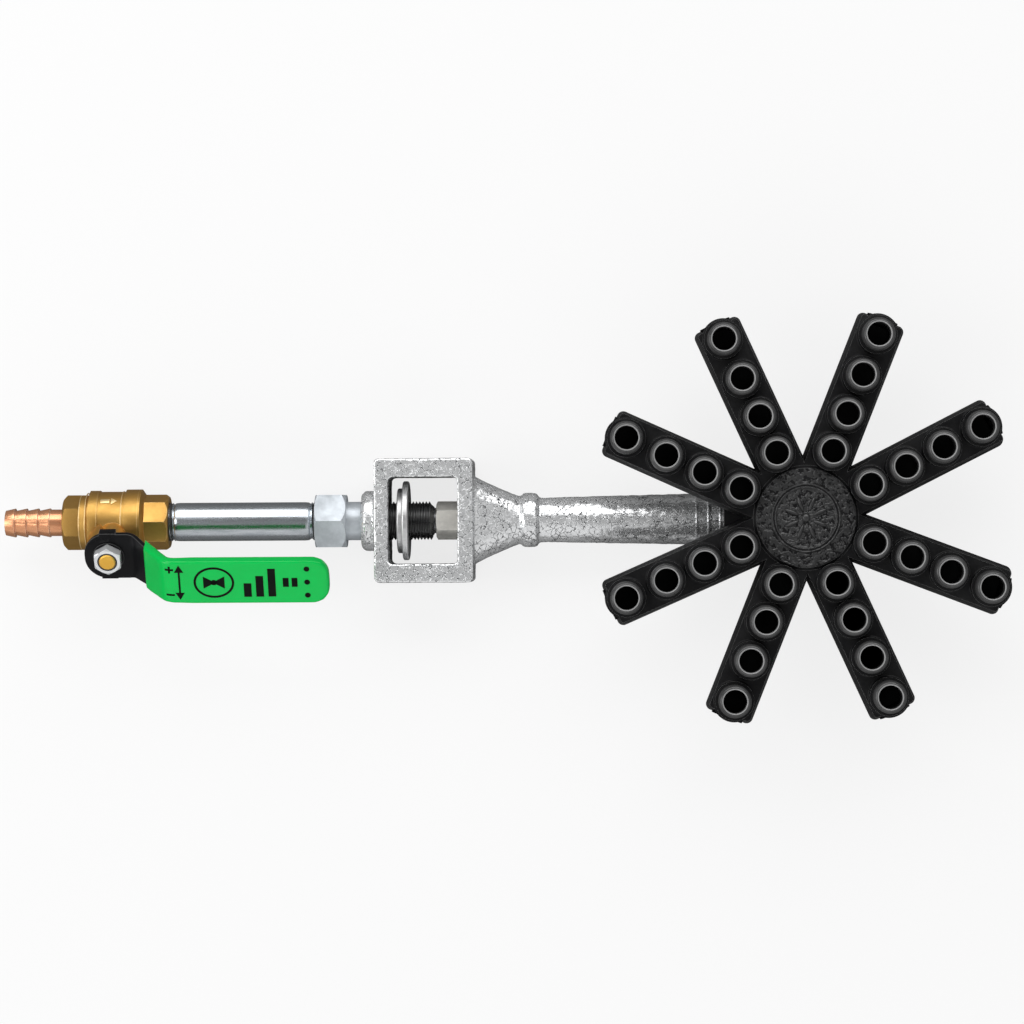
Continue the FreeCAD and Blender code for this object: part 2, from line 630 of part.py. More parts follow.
def make_mixer():
    """The mixer casting: boss, open air frame, funnel, throat bead and tapered tube in one."""
    mixer = new_body("Mixer", z="pipe_height")
    far = "-" + FRAME_FAR
    near = "-" + FRAME_NEAR
    tube_end = "-" + TUBE_END
    bead_far = tube_end + " - throat_bead_width"
    tip = "-(socket_reach - socket_depth) - end_gap"
    revolve(mixer, "Tube", [
        (bead_far, "0"), (bead_far, "throat_bead_radius - throat_bead_round", "-throat_bead_round"),
        (bead_far + " + throat_bead_round", "throat_bead_radius"),
        (tube_end + " - throat_bead_round", "throat_bead_radius", "-throat_bead_round"),
        (tube_end, "throat_bead_radius - throat_bead_round"),
        (tube_end, "tube_radius_throat"), ("-" + TUBE_START, "tube_radius_star"),
        ("-" + COLLAR_END, "collar_radius"), (tip, "collar_radius"), (tip, "0"),
    ])
    loft = mixer.newObject("PartDesign::AdditiveLoft", "Funnel")
    sections = []
    # Each ring: how far along the funnel it is, and how much of the narrowing is left there.
    rings = (("0", "1"), ("0.5", "funnel_hollow"), ("1", "0"))
    for index, (along, left) in enumerate(rings):
        place = "%s + funnel_length * %s" % (near, along)
        wide = "(funnel_end_radius + (funnel_width / 2 - funnel_end_radius) * %s)" % left
        deep = "(funnel_end_radius + (funnel_depth / 2 - funnel_end_radius) * %s)" % left
        corner = "(funnel_end_corner + (funnel_corner - funnel_end_corner) * %s)" % left
        ring = new_sketch(mixer, "FunnelRing%d" % index, "YZ_Plane", place)
        draw_box(ring, "-" + wide, wide, "-" + deep, deep, corner)
        sections.append(ring)
    loft.Profile = sections[0]
    loft.Sections = sections[1:]
    doc.recompute()
    frame = new_sketch(mixer, "Frame", "XY_Plane")
    draw_box(frame, far, near, "-frame_width / 2", "frame_width / 2", "frame_corner")
    pad(mixer, frame, "pipe_height", "pipe_height")
    revolve(mixer, "Boss", [
        (far + " - boss_length", "0"), (far + " - boss_length", "boss_radius - boss_bevel"),
        (far + " - boss_length + boss_bevel", "boss_radius"),
        (far + " + over_cut", "boss_radius"), (far + " + over_cut", "0"),
    ])
    window = new_sketch(mixer, "Window", "XY_Plane", "pipe_height")
    mouth = near + " - window_near_bar"
    draw_box(window, far + " + window_far_bar", mouth,
             "-window_width / 2", "window_width / 2", "window_corner")
    pocket(mixer, window, "2 * pipe_height")
    outer_end = far + " - boss_length - over_cut"
    inner_end = far + " + window_far_bar + over_cut"
    groove(mixer, "NippleThread", [
        (outer_end, "0"), (outer_end, "pipe_radius + thread_gap"),
        (inner_end, "pipe_radius + thread_gap"), (inner_end, "0"),
    ])
    groove(mixer, "Venturi", [
        (mouth + " - over_cut", "0"), (mouth + " - over_cut", "bell_radius"),
        (mouth, "bell_radius", "bell_curve"), (mouth + " + bell_length", "throat_bore"),
        (tip + " + over_cut", "outlet_bore"), (tip + " + over_cut", "0"),
    ])
    piece(mixer, "mixer_casting")


def make_orifice_nipple():
    """The threaded nipple inside the air frame, with a reduced nose for the hood."""
    nipple = new_body("OrificeNipple", z="pipe_height")
    start = "-" + FRAME_FAR
    end = "-" + NIPPLE_END
    revolve(nipple, "NippleProfile", [
        (start, "nipple_bore"), (start, "pipe_radius"),
        (end + " - thread_bevel", "pipe_radius"), (end, "pipe_radius - thread_bevel"),
        (end, "nose_radius"), (end + " + nose_length", "nose_radius"),
        (end + " + nose_length", "nose_bore"), (end + " - thread_bevel", "nose_bore"),
        (end + " - nose_step", "nipple_bore"),
    ])
    piece(nipple, "orifice_nipple")


def make_orifice_hood():
    """The hexagonal hood, drilled with the gas orifice."""
    hood = new_body("OrificeHood", z="pipe_height")
    back = "-%s + hood_gap" % NIPPLE_END
    hexagon = new_sketch(hood, "HoodHexagon", "YZ_Plane", back)
    draw_polygon(hexagon, 6, "hood_flats", 0)
    pad(hood, hexagon, "hood_length")
    bevel_polygon(hood, "HoodBack", back, 1, "hood_flats", 6, "hood_bevel / 2")
    bevel_polygon(hood, "HoodFront", back + " + hood_length", -1, "hood_flats", 6, "hood_bevel")
    floor = "-%s + nose_length + end_gap" % NIPPLE_END
    front = back + " + hood_length + over_cut"
    groove(hood, "HoodBore", [
        (back + " - over_cut", "0"), (back + " - over_cut", "nose_radius + thread_gap"),
        (floor, "nose_radius + thread_gap"), (floor, "orifice_bore"),
        (front, "orifice_bore"), (front, "0"),
    ])
    piece(hood, "orifice_hood")


def make_shutter():
    """The screwed air shutter disc and the lock ring behind it."""
    disc = new_body("ShutterDisc", z="pipe_height")
    front = "-" + SHUTTER_FACE
    back = front + " - shutter_thickness"
    revolve(disc, "ShutterProfile", [
        (back, "pipe_radius + running_gap"), (back, "shutter_radius - shutter_bevel"),
        (back + " + shutter_bevel", "shutter_radius"),
        (front + " - shutter_bevel", "shutter_radius"),
        (front, "shutter_radius - shutter_bevel"), (front, "pipe_radius + running_gap"),
    ])
    piece(disc, "air_shutter_disc")
    ring = new_body("LockRing", z="pipe_height")
    revolve(ring, "RingProfile", [
        (back + " - ring_thickness", "pipe_radius + running_gap"),
        (back + " - ring_thickness", "ring_radius - shutter_bevel"),
        (back + " - ring_thickness + shutter_bevel", "ring_radius"),
        (back, "ring_radius"), (back, "pipe_radius + running_gap"),
    ])
    piece(ring, "shutter_lock_ring")


def make_coupling():
    """The hex coupling: a pipe socket on one side and a threaded stub on the other."""
    coupling = new_body("HexCoupling", z="pipe_height")
    front = "-" + COUPLING_START
    back = front + " - coupling_length"
    stub_length = "stub_show + boss_length - end_gap"
    hexagon = new_sketch(coupling, "CouplingHexagon", "YZ_Plane", back)
    draw_polygon(hexagon, 6, "coupling_flats", 30)
    pad(coupling, hexagon, "coupling_length")
    bevel_polygon(coupling, "CouplingBack", back, 1, "coupling_flats", 6, "coupling_bevel / 2")
    bevel_polygon(coupling, "CouplingFront", front, -1, "coupling_flats", 6, "coupling_bevel")
    stub = new_sketch(coupling, "Stub", "YZ_Plane", front + " - over_cut")
    draw_circle(stub, "0", "0", "pipe_radius")
    pad(coupling, stub, stub_length + " + over_cut")
    floor = back + " + coupling_socket"
    stub_end = "%s + %s + over_cut" % (front, stub_length)
    groove(coupling, "CouplingBore", [
        (back + " - over_cut", "0"), (back + " - over_cut", "pipe_radius + thread_gap"),
        (floor, "pipe_radius + thread_gap"), (floor, "coupling_bore"),
        (stub_end, "coupling_bore"), (stub_end, "0"),
    ])
    piece(coupling, "hex_coupling")


def make_pipe_nipple():
    """The long pipe nipple between the valve and the coupling."""
    pipe = new_body("PipeNipple", z="pipe_height")
    cylinder_tube("pipe_nipple", pipe, "pipe_bore", "pipe_radius",
                  "-%s - pipe_in_valve + end_gap" % VALVE_START,
                  "-%s - coupling_length + coupling_socket - end_gap" % COUPLING_START, "H_Axis")


def tilted_sketch(body, name, lift):
    """A sketch square to the stem axis of the valve body, at a distance from the pipe axis."""
    sketch = new_sketch(body, name, "XY_Plane", "(%s) * cos(stem_tilt)" % lift, "stem_tilt",
                        Vector(1, 0, 0))
    bind(sketch, AttachmentOffset__Base__x=STEM_X,
         AttachmentOffset__Base__y="-(%s) * sin(stem_tilt)" % lift)
    return sketch


def make_valve_body():
    """The valve body: octagon end, turned barrel, bonnet with a stop ear, and the ball cavity."""
    valve = new_body("ValveBody", z="pipe_height")
    start = "-" + VALVE_START
    octagon_end = start + " - octagon_length"
    wide_end = octagon_end + " - ring_slope - ring_wide_length"
    waist_end = wide_end + " - waist_length"
    far_end = waist_end + " - ring_far_length"
    cap_face = VALVE_END + " + cap_length"
    revolve(valve, "Barrel", [
        (octagon_end, "0"), (octagon_end, "octagon_collar"),
        (octagon_end + " - ring_slope", "ring_wide_radius"), (wide_end, "ring_wide_radius"),
        (wide_end, "waist_radius"), (waist_end, "waist_radius"), (waist_end, "ring_far_radius"),
        (far_end, "ring_far_radius"), (far_end, "neck_radius"), (cap_face, "neck_radius"),
        (cap_face, "0"),
    ])
    octagon = new_sketch(valve, "Octagon", "YZ_Plane", octagon_end + " - over_cut")
    draw_polygon(octagon, 8, "octagon_flats", 0)
    pad(valve, octagon, "octagon_length + over_cut")
    bevel_polygon(valve, "OctagonFront", start, -1, "octagon_flats", 8, "octagon_bevel")
    bonnet = tilted_sketch(valve, "Bonnet", "0")
    draw_circle(bonnet, "0", "0", "bonnet_radius")
    pad(valve, bonnet, "bonnet_top")
    # The lugs sit at +90 and -90 degrees at rest and turn by -90 degrees to shut.
    half_lug = "atan(lug_width / 2 / (lever_width / 2 + lug_stand - lever_thickness))"
    first = "(90 deg + %s + stop_play * 1 deg)" % half_lug
    last = "(180 deg - %s - stop_play * 1 deg)" % half_lug
    ear = tilted_sketch(valve, "StopEar", "bonnet_top - stop_root")
    root = "(bonnet_radius - over_cut)"
    draw_path(ear, [
        ("%s * cos(%s)" % (root, first), "%s * sin(%s)" % (root, first)),
        ("stop_reach * cos(%s)" % first, "stop_reach * sin(%s)" % first, "stop_reach"),
        ("stop_reach * cos(%s)" % last, "stop_reach * sin(%s)" % last),
        ("%s * cos(%s)" % (root, last), "%s * sin(%s)" % (root, last), "-" + root),
    ])
    pad(valve, ear, "stop_top - bonnet_top + stop_root")
    room = tilted_sketch(valve, "NutRoom", "stop_top")
    draw_circle(room, "0", "0", "gland_flats / 2 / cos(30) + nut_room")
    pocket(valve, room, "stop_top - bonnet_top")
    groove(valve, "Cavity", [
        (cap_face + " - over_cut", "0"), (cap_face + " - over_cut", "cap_thread + thread_gap"),
        (STEM_X + " - cavity_reach", "cap_thread + thread_gap"),
        (STEM_X + " - cavity_reach", "cavity_radius"), (STEM_X + " + cavity_reach", "cavity_radius"),
        (STEM_X + " + cavity_reach", "valve_bore"), (start + " - pipe_in_valve", "valve_bore"),
        (start + " - pipe_in_valve", "pipe_radius + thread_gap"),
        (start + " + over_cut", "pipe_radius + thread_gap"), (start + " + over_cut", "0"),
    ])
    packing = tilted_sketch(valve, "PackingChamber", "bonnet_top")
    draw_circle(packing, "0", "0", "packing_radius + thread_gap")
    pocket(valve, packing, "bonnet_top - packing_floor")
    bore = tilted_sketch(valve, "StemBore", "packing_floor")
    draw_circle(bore, "0", "0", "stem_radius + running_gap")
    pocket(valve, bore, "packing_floor - ball_radius / 2")
    flange = tilted_sketch(valve, "FlangeSeat", "flange_start + flange_thickness + washer_thickness")
    draw_circle(flange, "0", "0", "flange_radius + running_gap")
    pocket(valve, flange, "flange_thickness + washer_thickness + flange_start - ball_radius / 2")
    piece(valve, "valve_body")


def make_end_cap():
    """The screwed end cap that holds the ball and seats in, with the socket for the hose barb."""
    cap = new_body("EndCap", z="pipe_height")
    hexagon = new_sketch(cap, "CapHexagon", "YZ_Plane", VALVE_END)
    draw_polygon(hexagon, 6, "cap_flats", 0)
    pad(cap, hexagon, "cap_length")
    bevel_polygon(cap, "CapFront", VALVE_END, 1, "cap_flats", 6, "cap_bevel")
    bevel_polygon(cap, "CapBack", VALVE_END + " + cap_length", -1, "cap_flats", 6, "cap_bevel / 3")
    neck = new_sketch(cap, "CapNeck", "YZ_Plane", VALVE_END + " + cap_length - over_cut")
    draw_circle(neck, "0", "0", "cap_thread")
    pad(cap, neck, "valve_length - stem_place - cavity_reach - cap_length + over_cut")
    groove(cap, "CapBore", [
        (VALVE_END + " - over_cut", "0"),
        (VALVE_END + " - over_cut", "barb_plain + thread_gap"),
        (VALVE_END + " + barb_seat", "barb_plain + thread_gap"),
        (VALVE_END + " + barb_seat", "valve_bore"), (STEM_X, "valve_bore"), (STEM_X, "0"),
    ])
    piece(cap, "valve_end_cap")


def make_seats():
    """Two seat rings, each hollowed to the ball's sphere."""
    for label, side in (("seat_ring_outlet", 1), ("seat_ring_inlet", -1)):
        seat = new_body(label + "_body", STEM_X, "pipe_height")
        inner = "sqrt((ball_radius + seat_gap) ^ 2 - valve_bore ^ 2)"
        flat = "sqrt((ball_radius + seat_gap) ^ 2 - (cavity_reach - seat_thickness) ^ 2)"
        revolve(seat, label + "_profile", [
            ("%d * (%s)" % (side, inner), "valve_bore"),
            ("%d * cavity_reach" % side, "valve_bore"),
            ("%d * cavity_reach" % side, "cavity_radius - thread_gap"),
            ("%d * (cavity_reach - seat_thickness)" % side, "cavity_radius - thread_gap"),
            ("%d * (cavity_reach - seat_thickness)" % side, flat,
             "%d * (ball_radius + seat_gap)" % -side),
        ])
        piece(seat, label)


def make_ball():
    """The ball: a sphere with the gas way through it and a slot for the stem's tang."""
    ball = stem_body("Ball")
    sphere = ball.newObject("PartDesign::AdditiveSphere", "BallSphere")
    bind(sphere, Radius="ball_radius")
    doc.recompute()
    way = new_sketch(ball, "BallWay", "YZ_Plane")
    draw_circle(way, "0", "0", "valve_bore")
    pocket(ball, way, "ball_radius", "ball_radius")
    slot = new_sketch(ball, "BallSlot", "XY_Plane", "ball_radius")
    draw_box(slot, "-tang_thickness / 2 - running_gap", "tang_thickness / 2 + running_gap",
             "-ball_radius", "ball_radius")
    pocket(ball, slot, "slot_depth")
    piece(ball, "valve_ball")


def make_stem():
    """The stem: tang, retaining flange, round shank, two flats for the lever and a threaded end."""
    stem = stem_body("Stem")
    lever_top = "lever_seat + lever_thickness"
    flange_top = "flange_start + flange_thickness"
    revolve(stem, "StemProfile", [
        ("0", "flange_start"), ("flange_radius", "flange_start"), ("flange_radius", flange_top),
        ("stem_radius", flange_top), ("stem_radius", lever_top), ("stem_thread", lever_top),
        ("stem_thread", "stem_top - stem_bevel"), ("stem_thread - stem_bevel", "stem_top"),
        ("0", "stem_top"),
    ], "V_Axis")
    tang = new_sketch(stem, "Tang", "XY_Plane", "ball_radius - slot_depth + tang_gap")
    draw_box(tang, "-tang_thickness / 2", "tang_thickness / 2", "-tang_width / 2", "tang_width / 2")
    pad(stem, tang, "flange_start - ball_radius + slot_depth")
    flats = new_sketch(stem, "StemFlats", "XY_Plane", lever_top)
    outside = "(stem_radius + over_cut)"
    draw_box(flats, "-" + outside, outside, "stem_flat", outside)
    draw_box(flats, "-" + outside, outside, "-" + outside, "-stem_flat")
    pocket(stem, flats, "lever_thickness")
    piece(stem, "valve_stem")


def make_stem_seals():
    """Thrust washer, packing and packing nut round the stem."""
    washer = stem_body("ThrustWasher")
    cylinder_tube("stem_thrust_washer", washer, "stem_radius + running_gap", "flange_radius",
                  "flange_start + flange_thickness",
                  "flange_start + flange_thickness + washer_thickness")
    packing = stem_body("StemPacking")
    cylinder_tube("stem_packing", packing, "stem_radius + running_gap", "packing_radius",
                  "packing_floor", "packing_floor + packing_depth")
    gland = stem_body("PackingNut")
    hexagon = new_sketch(gland, "GlandHexagon", "XY_Plane", "bonnet_top")
    draw_polygon(hexagon, 6, "gland_flats", 0)
    pad(gland, hexagon, "gland_top - bonnet_top", "bonnet_top - packing_floor - packing_depth")
    groove(gland, "GlandSkirt", [
        ("packing_radius", "packing_floor"), ("gland_flats", "packing_floor"),
        ("gland_flats", "bonnet_top"), ("packing_radius", "bonnet_top"),
    ], "V_Axis")
    bevel_polygon(gland, "GlandTop", "gland_top", -1, "gland_flats", 6, "nut_bevel", "V_Axis")
    bore = new_sketch(gland, "GlandBore", "XY_Plane", "gland_top")
    draw_circle(bore, "0", "0", "stem_radius + running_gap")
    pocket(gland, bore, "gland_top - packing_floor")
    piece(gland, "packing_nut")


def bent_strip(start, end, thickness):
    """Side view of the lever's plate: eye, two bends and straight handle, at a given thickness."""
    middle = LEVER_MIDDLE
    half = "(%s) / 2" % thickness
    slope = "(bend_rise - 2 * bend_radius * (1 - cos(bend_angle))) / sin(bend_angle)"
    bend_x = "bend_radius * sin(bend_angle)"
    bend_z = "bend_radius * (1 - cos(bend_angle))"
    first = ("bend_start + %s" % bend_x, "%s + %s" % (middle, bend_z))
    last = ("%s + %s * cos(bend_angle)" % (first[0], slope),
            "%s + %s * sin(bend_angle)" % (first[1], slope))
    over = ("%s + %s" % (last[0], bend_x), "%s + bend_rise" % middle)
    lean_x = "%s * sin(bend_angle)" % half
    lean_z = "%s * cos(bend_angle)" % half
    outer = "bend_radius + %s" % half
    inner = "bend_radius - %s" % half
    return [
        (start, "%s - %s" % (middle, half)), ("bend_start", "%s - %s" % (middle, half), outer),
        ("%s + %s" % (first[0], lean_x), "%s - %s" % (first[1], lean_z)),
        ("%s + %s" % (last[0], lean_x), "%s - %s" % (last[1], lean_z), "-(%s)" % inner),
        (over[0], "%s - %s" % (over[1], half)), (end, "%s - %s" % (over[1], half)),
        (end, "%s + %s" % (over[1], half)), (over[0], "%s + %s" % (over[1], half), outer),
        ("%s - %s" % (last[0], lean_x), "%s + %s" % (last[1], lean_z)),
        ("%s - %s" % (first[0], lean_x), "%s + %s" % (first[1], lean_z), "-(%s)" % inner),
        ("bend_start", "%s + %s" % (middle, half)), (start, "%s + %s" % (middle, half)),
    ]


def round_corners(body, name, place, radius):
    """Rounds a plate's corners at one place along the lever."""
    before = body.Tip
    edges = []
    for index, edge in enumerate(before.Shape.Edges, 1):
        points = [vertex.Point for vertex in edge.Vertexes]
        if len(points) != 2 or abs((points[0] - points[1]).z) < number("lever_thickness") / 2:
            continue
        if all(abs(point.x - number(place)) < 1e-4 for point in points):
            edges.append("Edge%d" % index)
    fillet = body.newObject("PartDesign::Fillet", name)
    fillet.Base = (before, edges)
    bind(fillet, Radius=radius)
    doc.recompute()


def make_lever():
    """The steel lever: a bent plate with a rounded eye, two stop lugs and a hole with two flats."""
    lever = stem_body("Lever")
    side = new_sketch(lever, "LeverSide", "XZ_Plane")
    draw_path(side, bent_strip("-eye_reach", "lever_reach", "lever_thickness"))
    pad(lever, side, "lever_width / 2", "lever_width / 2")
    round_corners(lever, "EyeCorners", "-eye_reach", "eye_corner")
    lugs = new_sketch(lever, "StopLugs", "XY_Plane", "lever_seat - lug_drop")
    lug_face = "(lever_width / 2 + lug_stand)"
    lug_back = "(lever_width / 2 + lug_stand - lever_thickness)"
    draw_box(lugs, "-lug_width / 2", "lug_width / 2", lug_back, lug_face)
    draw_box(lugs, "-lug_width / 2", "lug_width / 2", "-" + lug_face, "-" + lug_back)
    pad(lever, lugs, "lug_drop + lever_thickness")
    top = "(lever_seat + lever_thickness + bend_rise)"
    sides = new_sketch(lever, "HandleSides", "XY_Plane", top)
    beyond = "lever_reach + over_cut"
    for side_of in ("", "-"):
        draw_path(sides, [
            ("bend_start", side_of + "lever_width / 2"), ("grip_start", side_of + "handle_width / 2"),
            (beyond, side_of + "handle_width / 2"), (beyond, side_of + "lever_width"),
            ("bend_start", side_of + "lever_width"),
        ])
    pocket(lever, sides, "lever_thickness + bend_rise")
    flat = "(stem_flat + running_gap)"
    round_part = "(stem_radius + running_gap)"
    corner = "sqrt(%s ^ 2 - %s ^ 2)" % (round_part, flat)
    hole = new_sketch(lever, "StemHole", "XY_Plane", "lever_seat + lever_thickness")
    draw_path(hole, [
        ("-" + corner, "-" + flat), (corner, "-" + flat, round_part),
        (corner, flat), ("-" + corner, flat, round_part),
    ])
    pocket(lever, hole, "lever_thickness")
    piece(lever, "lever")


def make_grip():
    """The vinyl grip: a thick sleeve over the lever's plate, from the slope to past its end."""
    grip = stem_body("Grip")
    outside = new_sketch(grip, "GripSide", "XZ_Plane")
    draw_path(outside, bent_strip("-eye_reach", "lever_reach + grip_end_wall",
                                  "lever_thickness + 2 * grip_wall"))
    half = "handle_width / 2 + grip_side_wall"
    pad(grip, outside, half, half)
    round_corners(grip, "GripCorners", "lever_reach + grip_end_wall", "grip_corner")
    sleeve = new_sketch(grip, "GripInside", "XZ_Plane")
    draw_path(sleeve, bent_strip("-eye_reach - over_cut", "lever_reach", "lever_thickness"))
    pocket(grip, sleeve, "handle_width / 2", "handle_width / 2")
    eye = new_sketch(grip, "GripStart", "XZ_Plane")
    draw_box(eye, "-eye_reach - 2 * over_cut", "grip_start", "0", "2 * stem_top")
    pocket(grip, eye, "lever_width", "lever_width")
    piece(grip, "lever_grip")


def make_lever_fastening():
    """Washer, lock nut and its insert on the stem's threaded end."""
    washer = stem_body("LeverWasher")
    cylinder_tube("lever_washer", washer, "stem_thread + running_gap", "lock_washer_radius",
                  "lever_seat + lever_thickness", NUT_SEAT)
    nut = stem_body("LeverNut")
    hexagon = new_sketch(nut, "NutHexagon", "XY_Plane", NUT_SEAT)
    draw_polygon(hexagon, 6, "nut_flats", 30)
    pad(nut, hexagon, "nut_height")
    top = NUT_SEAT + " + nut_height"
    bevel_polygon(nut, "NutTop", top, -1, "nut_flats", 6, "nut_bevel", "V_Axis")
    bore = new_sketch(nut, "NutBore", "XY_Plane", top)
    draw_circle(bore, "0", "0", "stem_thread + thread_gap")
    pocket(nut, bore, "nut_height")
    seat = new_sketch(nut, "InsertSeat", "XY_Plane", top)
    draw_circle(seat, "0", "0", "insert_radius + thread_gap")
    pocket(nut, seat, "insert_depth")
    piece(nut, "lever_nut")
    insert = stem_body("NutInsert")
    cylinder_tube("nut_insert", insert, "stem_thread + thread_gap", "insert_radius",
                  top + " - insert_depth", top)


def make_barb():
    """The hose barb: a row of sawtooth ridges and a plain root seated in the valve's cap."""
    barb = new_body("HoseBarb", z="pipe_height")
    free = VALVE_END + " - barb_reach"
    points = [(free, "barb_bore"), (free, "barb_tip")]
    for index in range(BARB_RIDGES):
        crest = "%s + barb_first + %d * barb_pitch" % (free, index)
        after = "barb_plain" if index == BARB_RIDGES - 1 else "barb_root"
        points += [(crest, "barb_crest"), (crest + " + barb_drop", after)]
    root = VALVE_END + " + barb_seat"
    points += [(root, "barb_plain"), (root, "barb_bore")]
    revolve(barb, "BarbProfile", points)
    piece(barb, "hose_barb")


def check_and_write():
    """Writes each sub-part to its own file once nothing has failed."""
    doc.recompute()
    for thing in doc.Objects:
        if "Invalid" in thing.State or "Error" in thing.State:
            raise RuntimeError("%s failed: %s" % (thing.Name, thing.State))
    for thing in pieces:
        if thing.Shape.isNull() or not thing.Shape.isValid() or not thing.Shape.Solids:
            raise RuntimeError("%s has no valid shape" % thing.Label)
    os.makedirs("parts", exist_ok=True)
    for thing in pieces:
        thing.Shape.exportStep(os.path.join("parts", thing.Label + ".step"))
        print("%-22s %2d solids  %8.0f mm3" % (thing.Label, len(thing.Shape.Solids), thing.Shape.Volume))


make_star()
make_jets()
make_core_plugs()
make_mixer()
make_orifice_nipple()
make_orifice_hood()
make_shutter()
make_coupling()
make_pipe_nipple()
make_valve_body()
make_end_cap()
make_seats()
make_ball()
make_stem()
make_stem_seals()
make_lever()
make_grip()
make_lever_fastening()
make_barb()
check_and_write()
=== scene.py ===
import json
import math

import bpy
from mathutils import Euler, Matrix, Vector


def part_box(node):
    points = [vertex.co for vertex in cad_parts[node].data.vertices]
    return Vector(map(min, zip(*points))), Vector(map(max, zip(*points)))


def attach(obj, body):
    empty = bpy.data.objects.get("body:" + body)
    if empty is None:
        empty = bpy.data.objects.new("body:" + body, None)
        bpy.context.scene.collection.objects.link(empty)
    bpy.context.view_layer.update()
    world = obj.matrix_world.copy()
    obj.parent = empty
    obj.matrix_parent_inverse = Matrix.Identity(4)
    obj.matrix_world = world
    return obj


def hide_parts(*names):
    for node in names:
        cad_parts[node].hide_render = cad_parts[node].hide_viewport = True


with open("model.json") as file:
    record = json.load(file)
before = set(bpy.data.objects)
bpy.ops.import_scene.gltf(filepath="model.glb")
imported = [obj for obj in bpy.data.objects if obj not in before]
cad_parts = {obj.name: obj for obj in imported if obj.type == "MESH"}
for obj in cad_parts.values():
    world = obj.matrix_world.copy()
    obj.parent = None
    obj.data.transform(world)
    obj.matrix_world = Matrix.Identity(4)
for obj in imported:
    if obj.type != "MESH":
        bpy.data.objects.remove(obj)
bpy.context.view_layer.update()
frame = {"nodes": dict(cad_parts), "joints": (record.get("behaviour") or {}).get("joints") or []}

MM = 0.001


def box(node):
    """Lowest and highest corner of a CAD node, in millimetres."""
    low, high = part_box(node)
    return low / MM, high / MM


# ---- Places that come from the frame, in millimetres ----
PIPE_LOW, PIPE_HIGH = box("pipe_nipple")
PIPE_Z = (PIPE_LOW.z + PIPE_HIGH.z) / 2
PIPE_RADIUS = (PIPE_HIGH.z - PIPE_LOW.z) / 2
VALVE_FACE = box("valve_body")[1].x
COUPLING_FACE = box("hex_coupling")[0].x
GRIP_START = box("lever_grip")[0].x
JET_FLOOR, JET_TOP = (corner.z for corner in box("jet_tips_arm_1"))
STAR_HIGH = box("burner_star")[1]
BOSS_TOP = STAR_HIGH.z
FRAME_HALF = max(abs(corner.y) for corner in box("mixer_casting"))
STEM_JOINT = [joint for joint in frame["joints"] if joint["name"] == "valve_turn"][0]
STEM_FOOT = Vector(STEM_JOINT["pos_m"]) / MM
STEM_AXIS = Vector(STEM_JOINT["axis"]).normalized()
STEM_TILT = math.atan2(-STEM_AXIS.y, STEM_AXIS.z)

# ---- Sizes that the boxes don't give, in millimetres, the same as in the CAD model ----
ARM_COUNT = 8
ARM_TOP = 60.5
ARM_PARTING = 48.5
BOSS_RADIUS = 10.6
JET_RADIUS = 9.0
JET_BORE = 6.4
SPIGOT_RADIUS = 7.4
DISC_TOP = 62.6
DISC_RADIUS = 27.0
FRAME_FAR = -236.4
FRAME_NEAR = -181.4
THREAD_PITCH = 25.4 / 14

# ---- Limits for merging and easing the CAD model's meshes ----
MERGE_DISTANCE = 0.001
FLAT_ANGLE = math.radians(1)
EASED_ANGLE = math.radians(28)
# Smoothed over this angle, in degrees, a piece has no sharp edge left.
ALL_ROUND = 180


# ---- Small helpers ----
def only(*things):
    """Selects these objects alone; the last one becomes active."""
    if bpy.context.object and bpy.context.object.mode != "OBJECT":
        bpy.ops.object.mode_set(mode="OBJECT")
    bpy.ops.object.select_all(action="DESELECT")
    for thing in things:
        thing.select_set(True)
        bpy.context.view_layer.objects.active = thing


def edit(thing):
    """Goes into edit mode on one object with everything selected."""
    only(thing)
    bpy.ops.object.mode_set(mode="EDIT")
    bpy.ops.mesh.select_all(action="SELECT")


def leave_edit():
    """Goes back to object mode and hands over the active object."""
    bpy.ops.object.mode_set(mode="OBJECT")
    return bpy.context.object


def face_outward():
    """Turns every face of the mesh in edit mode outward, and leaves edit mode."""
    bpy.ops.mesh.select_all(action="SELECT")
    bpy.ops.mesh.normals_make_consistent(inside=False)
    return leave_edit()


def settle(thing):
    """Puts an object's place, turn and size into its mesh."""
    only(thing)
    bpy.ops.object.transform_apply(location=True, rotation=True, scale=True)
    return thing


def use(thing, name, kind, **settings):
    """Adds one modifier and applies it."""
    only(thing)
    modifier = thing.modifiers.new(name, kind)
    for key, value in settings.items():
        setattr(modifier, key, value)
    bpy.ops.object.modifier_apply(modifier=modifier.name)
    return thing


def smooth(thing, angle=35):
    """Shades a piece smooth, except over edges sharper than the angle."""
    only(thing)
    bpy.ops.object.shade_smooth_by_angle(angle=math.radians(angle))
    return thing


def join(name, things):
    """Joins pieces into the last of them, under a new name."""
    only(*things)
    bpy.ops.object.join()
    whole = bpy.context.object
    whole.name = name
    whole.data.name = name
    return whole


def copy_of(thing, name):
    """A copy with a mesh of its own."""
    twin = thing.copy()
    twin.data = thing.data.copy()
    twin.name = name
    bpy.context.scene.collection.objects.link(twin)
    return twin


def drop(thing):
    """Removes a helper object."""
    bpy.data.objects.remove(thing)


def reach_along(node, axis, origin):
    """How far a CAD node reaches along an axis, in millimetres."""
    vertices = frame["nodes"][node].data.vertices
    places = [(vertex.co / MM - origin).dot(axis) for vertex in vertices]
    return min(places), max(places)


def dress(thing, body, material, slot, *nodes):
    """Gives a finished piece its material and body, and hides the CAD nodes that it stands for. The
    slot is not used.
    """
    thing.data.materials.clear()
    thing.data.materials.append(material)
    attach(thing, body)
    if nodes:
        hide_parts(*nodes)
    return thing


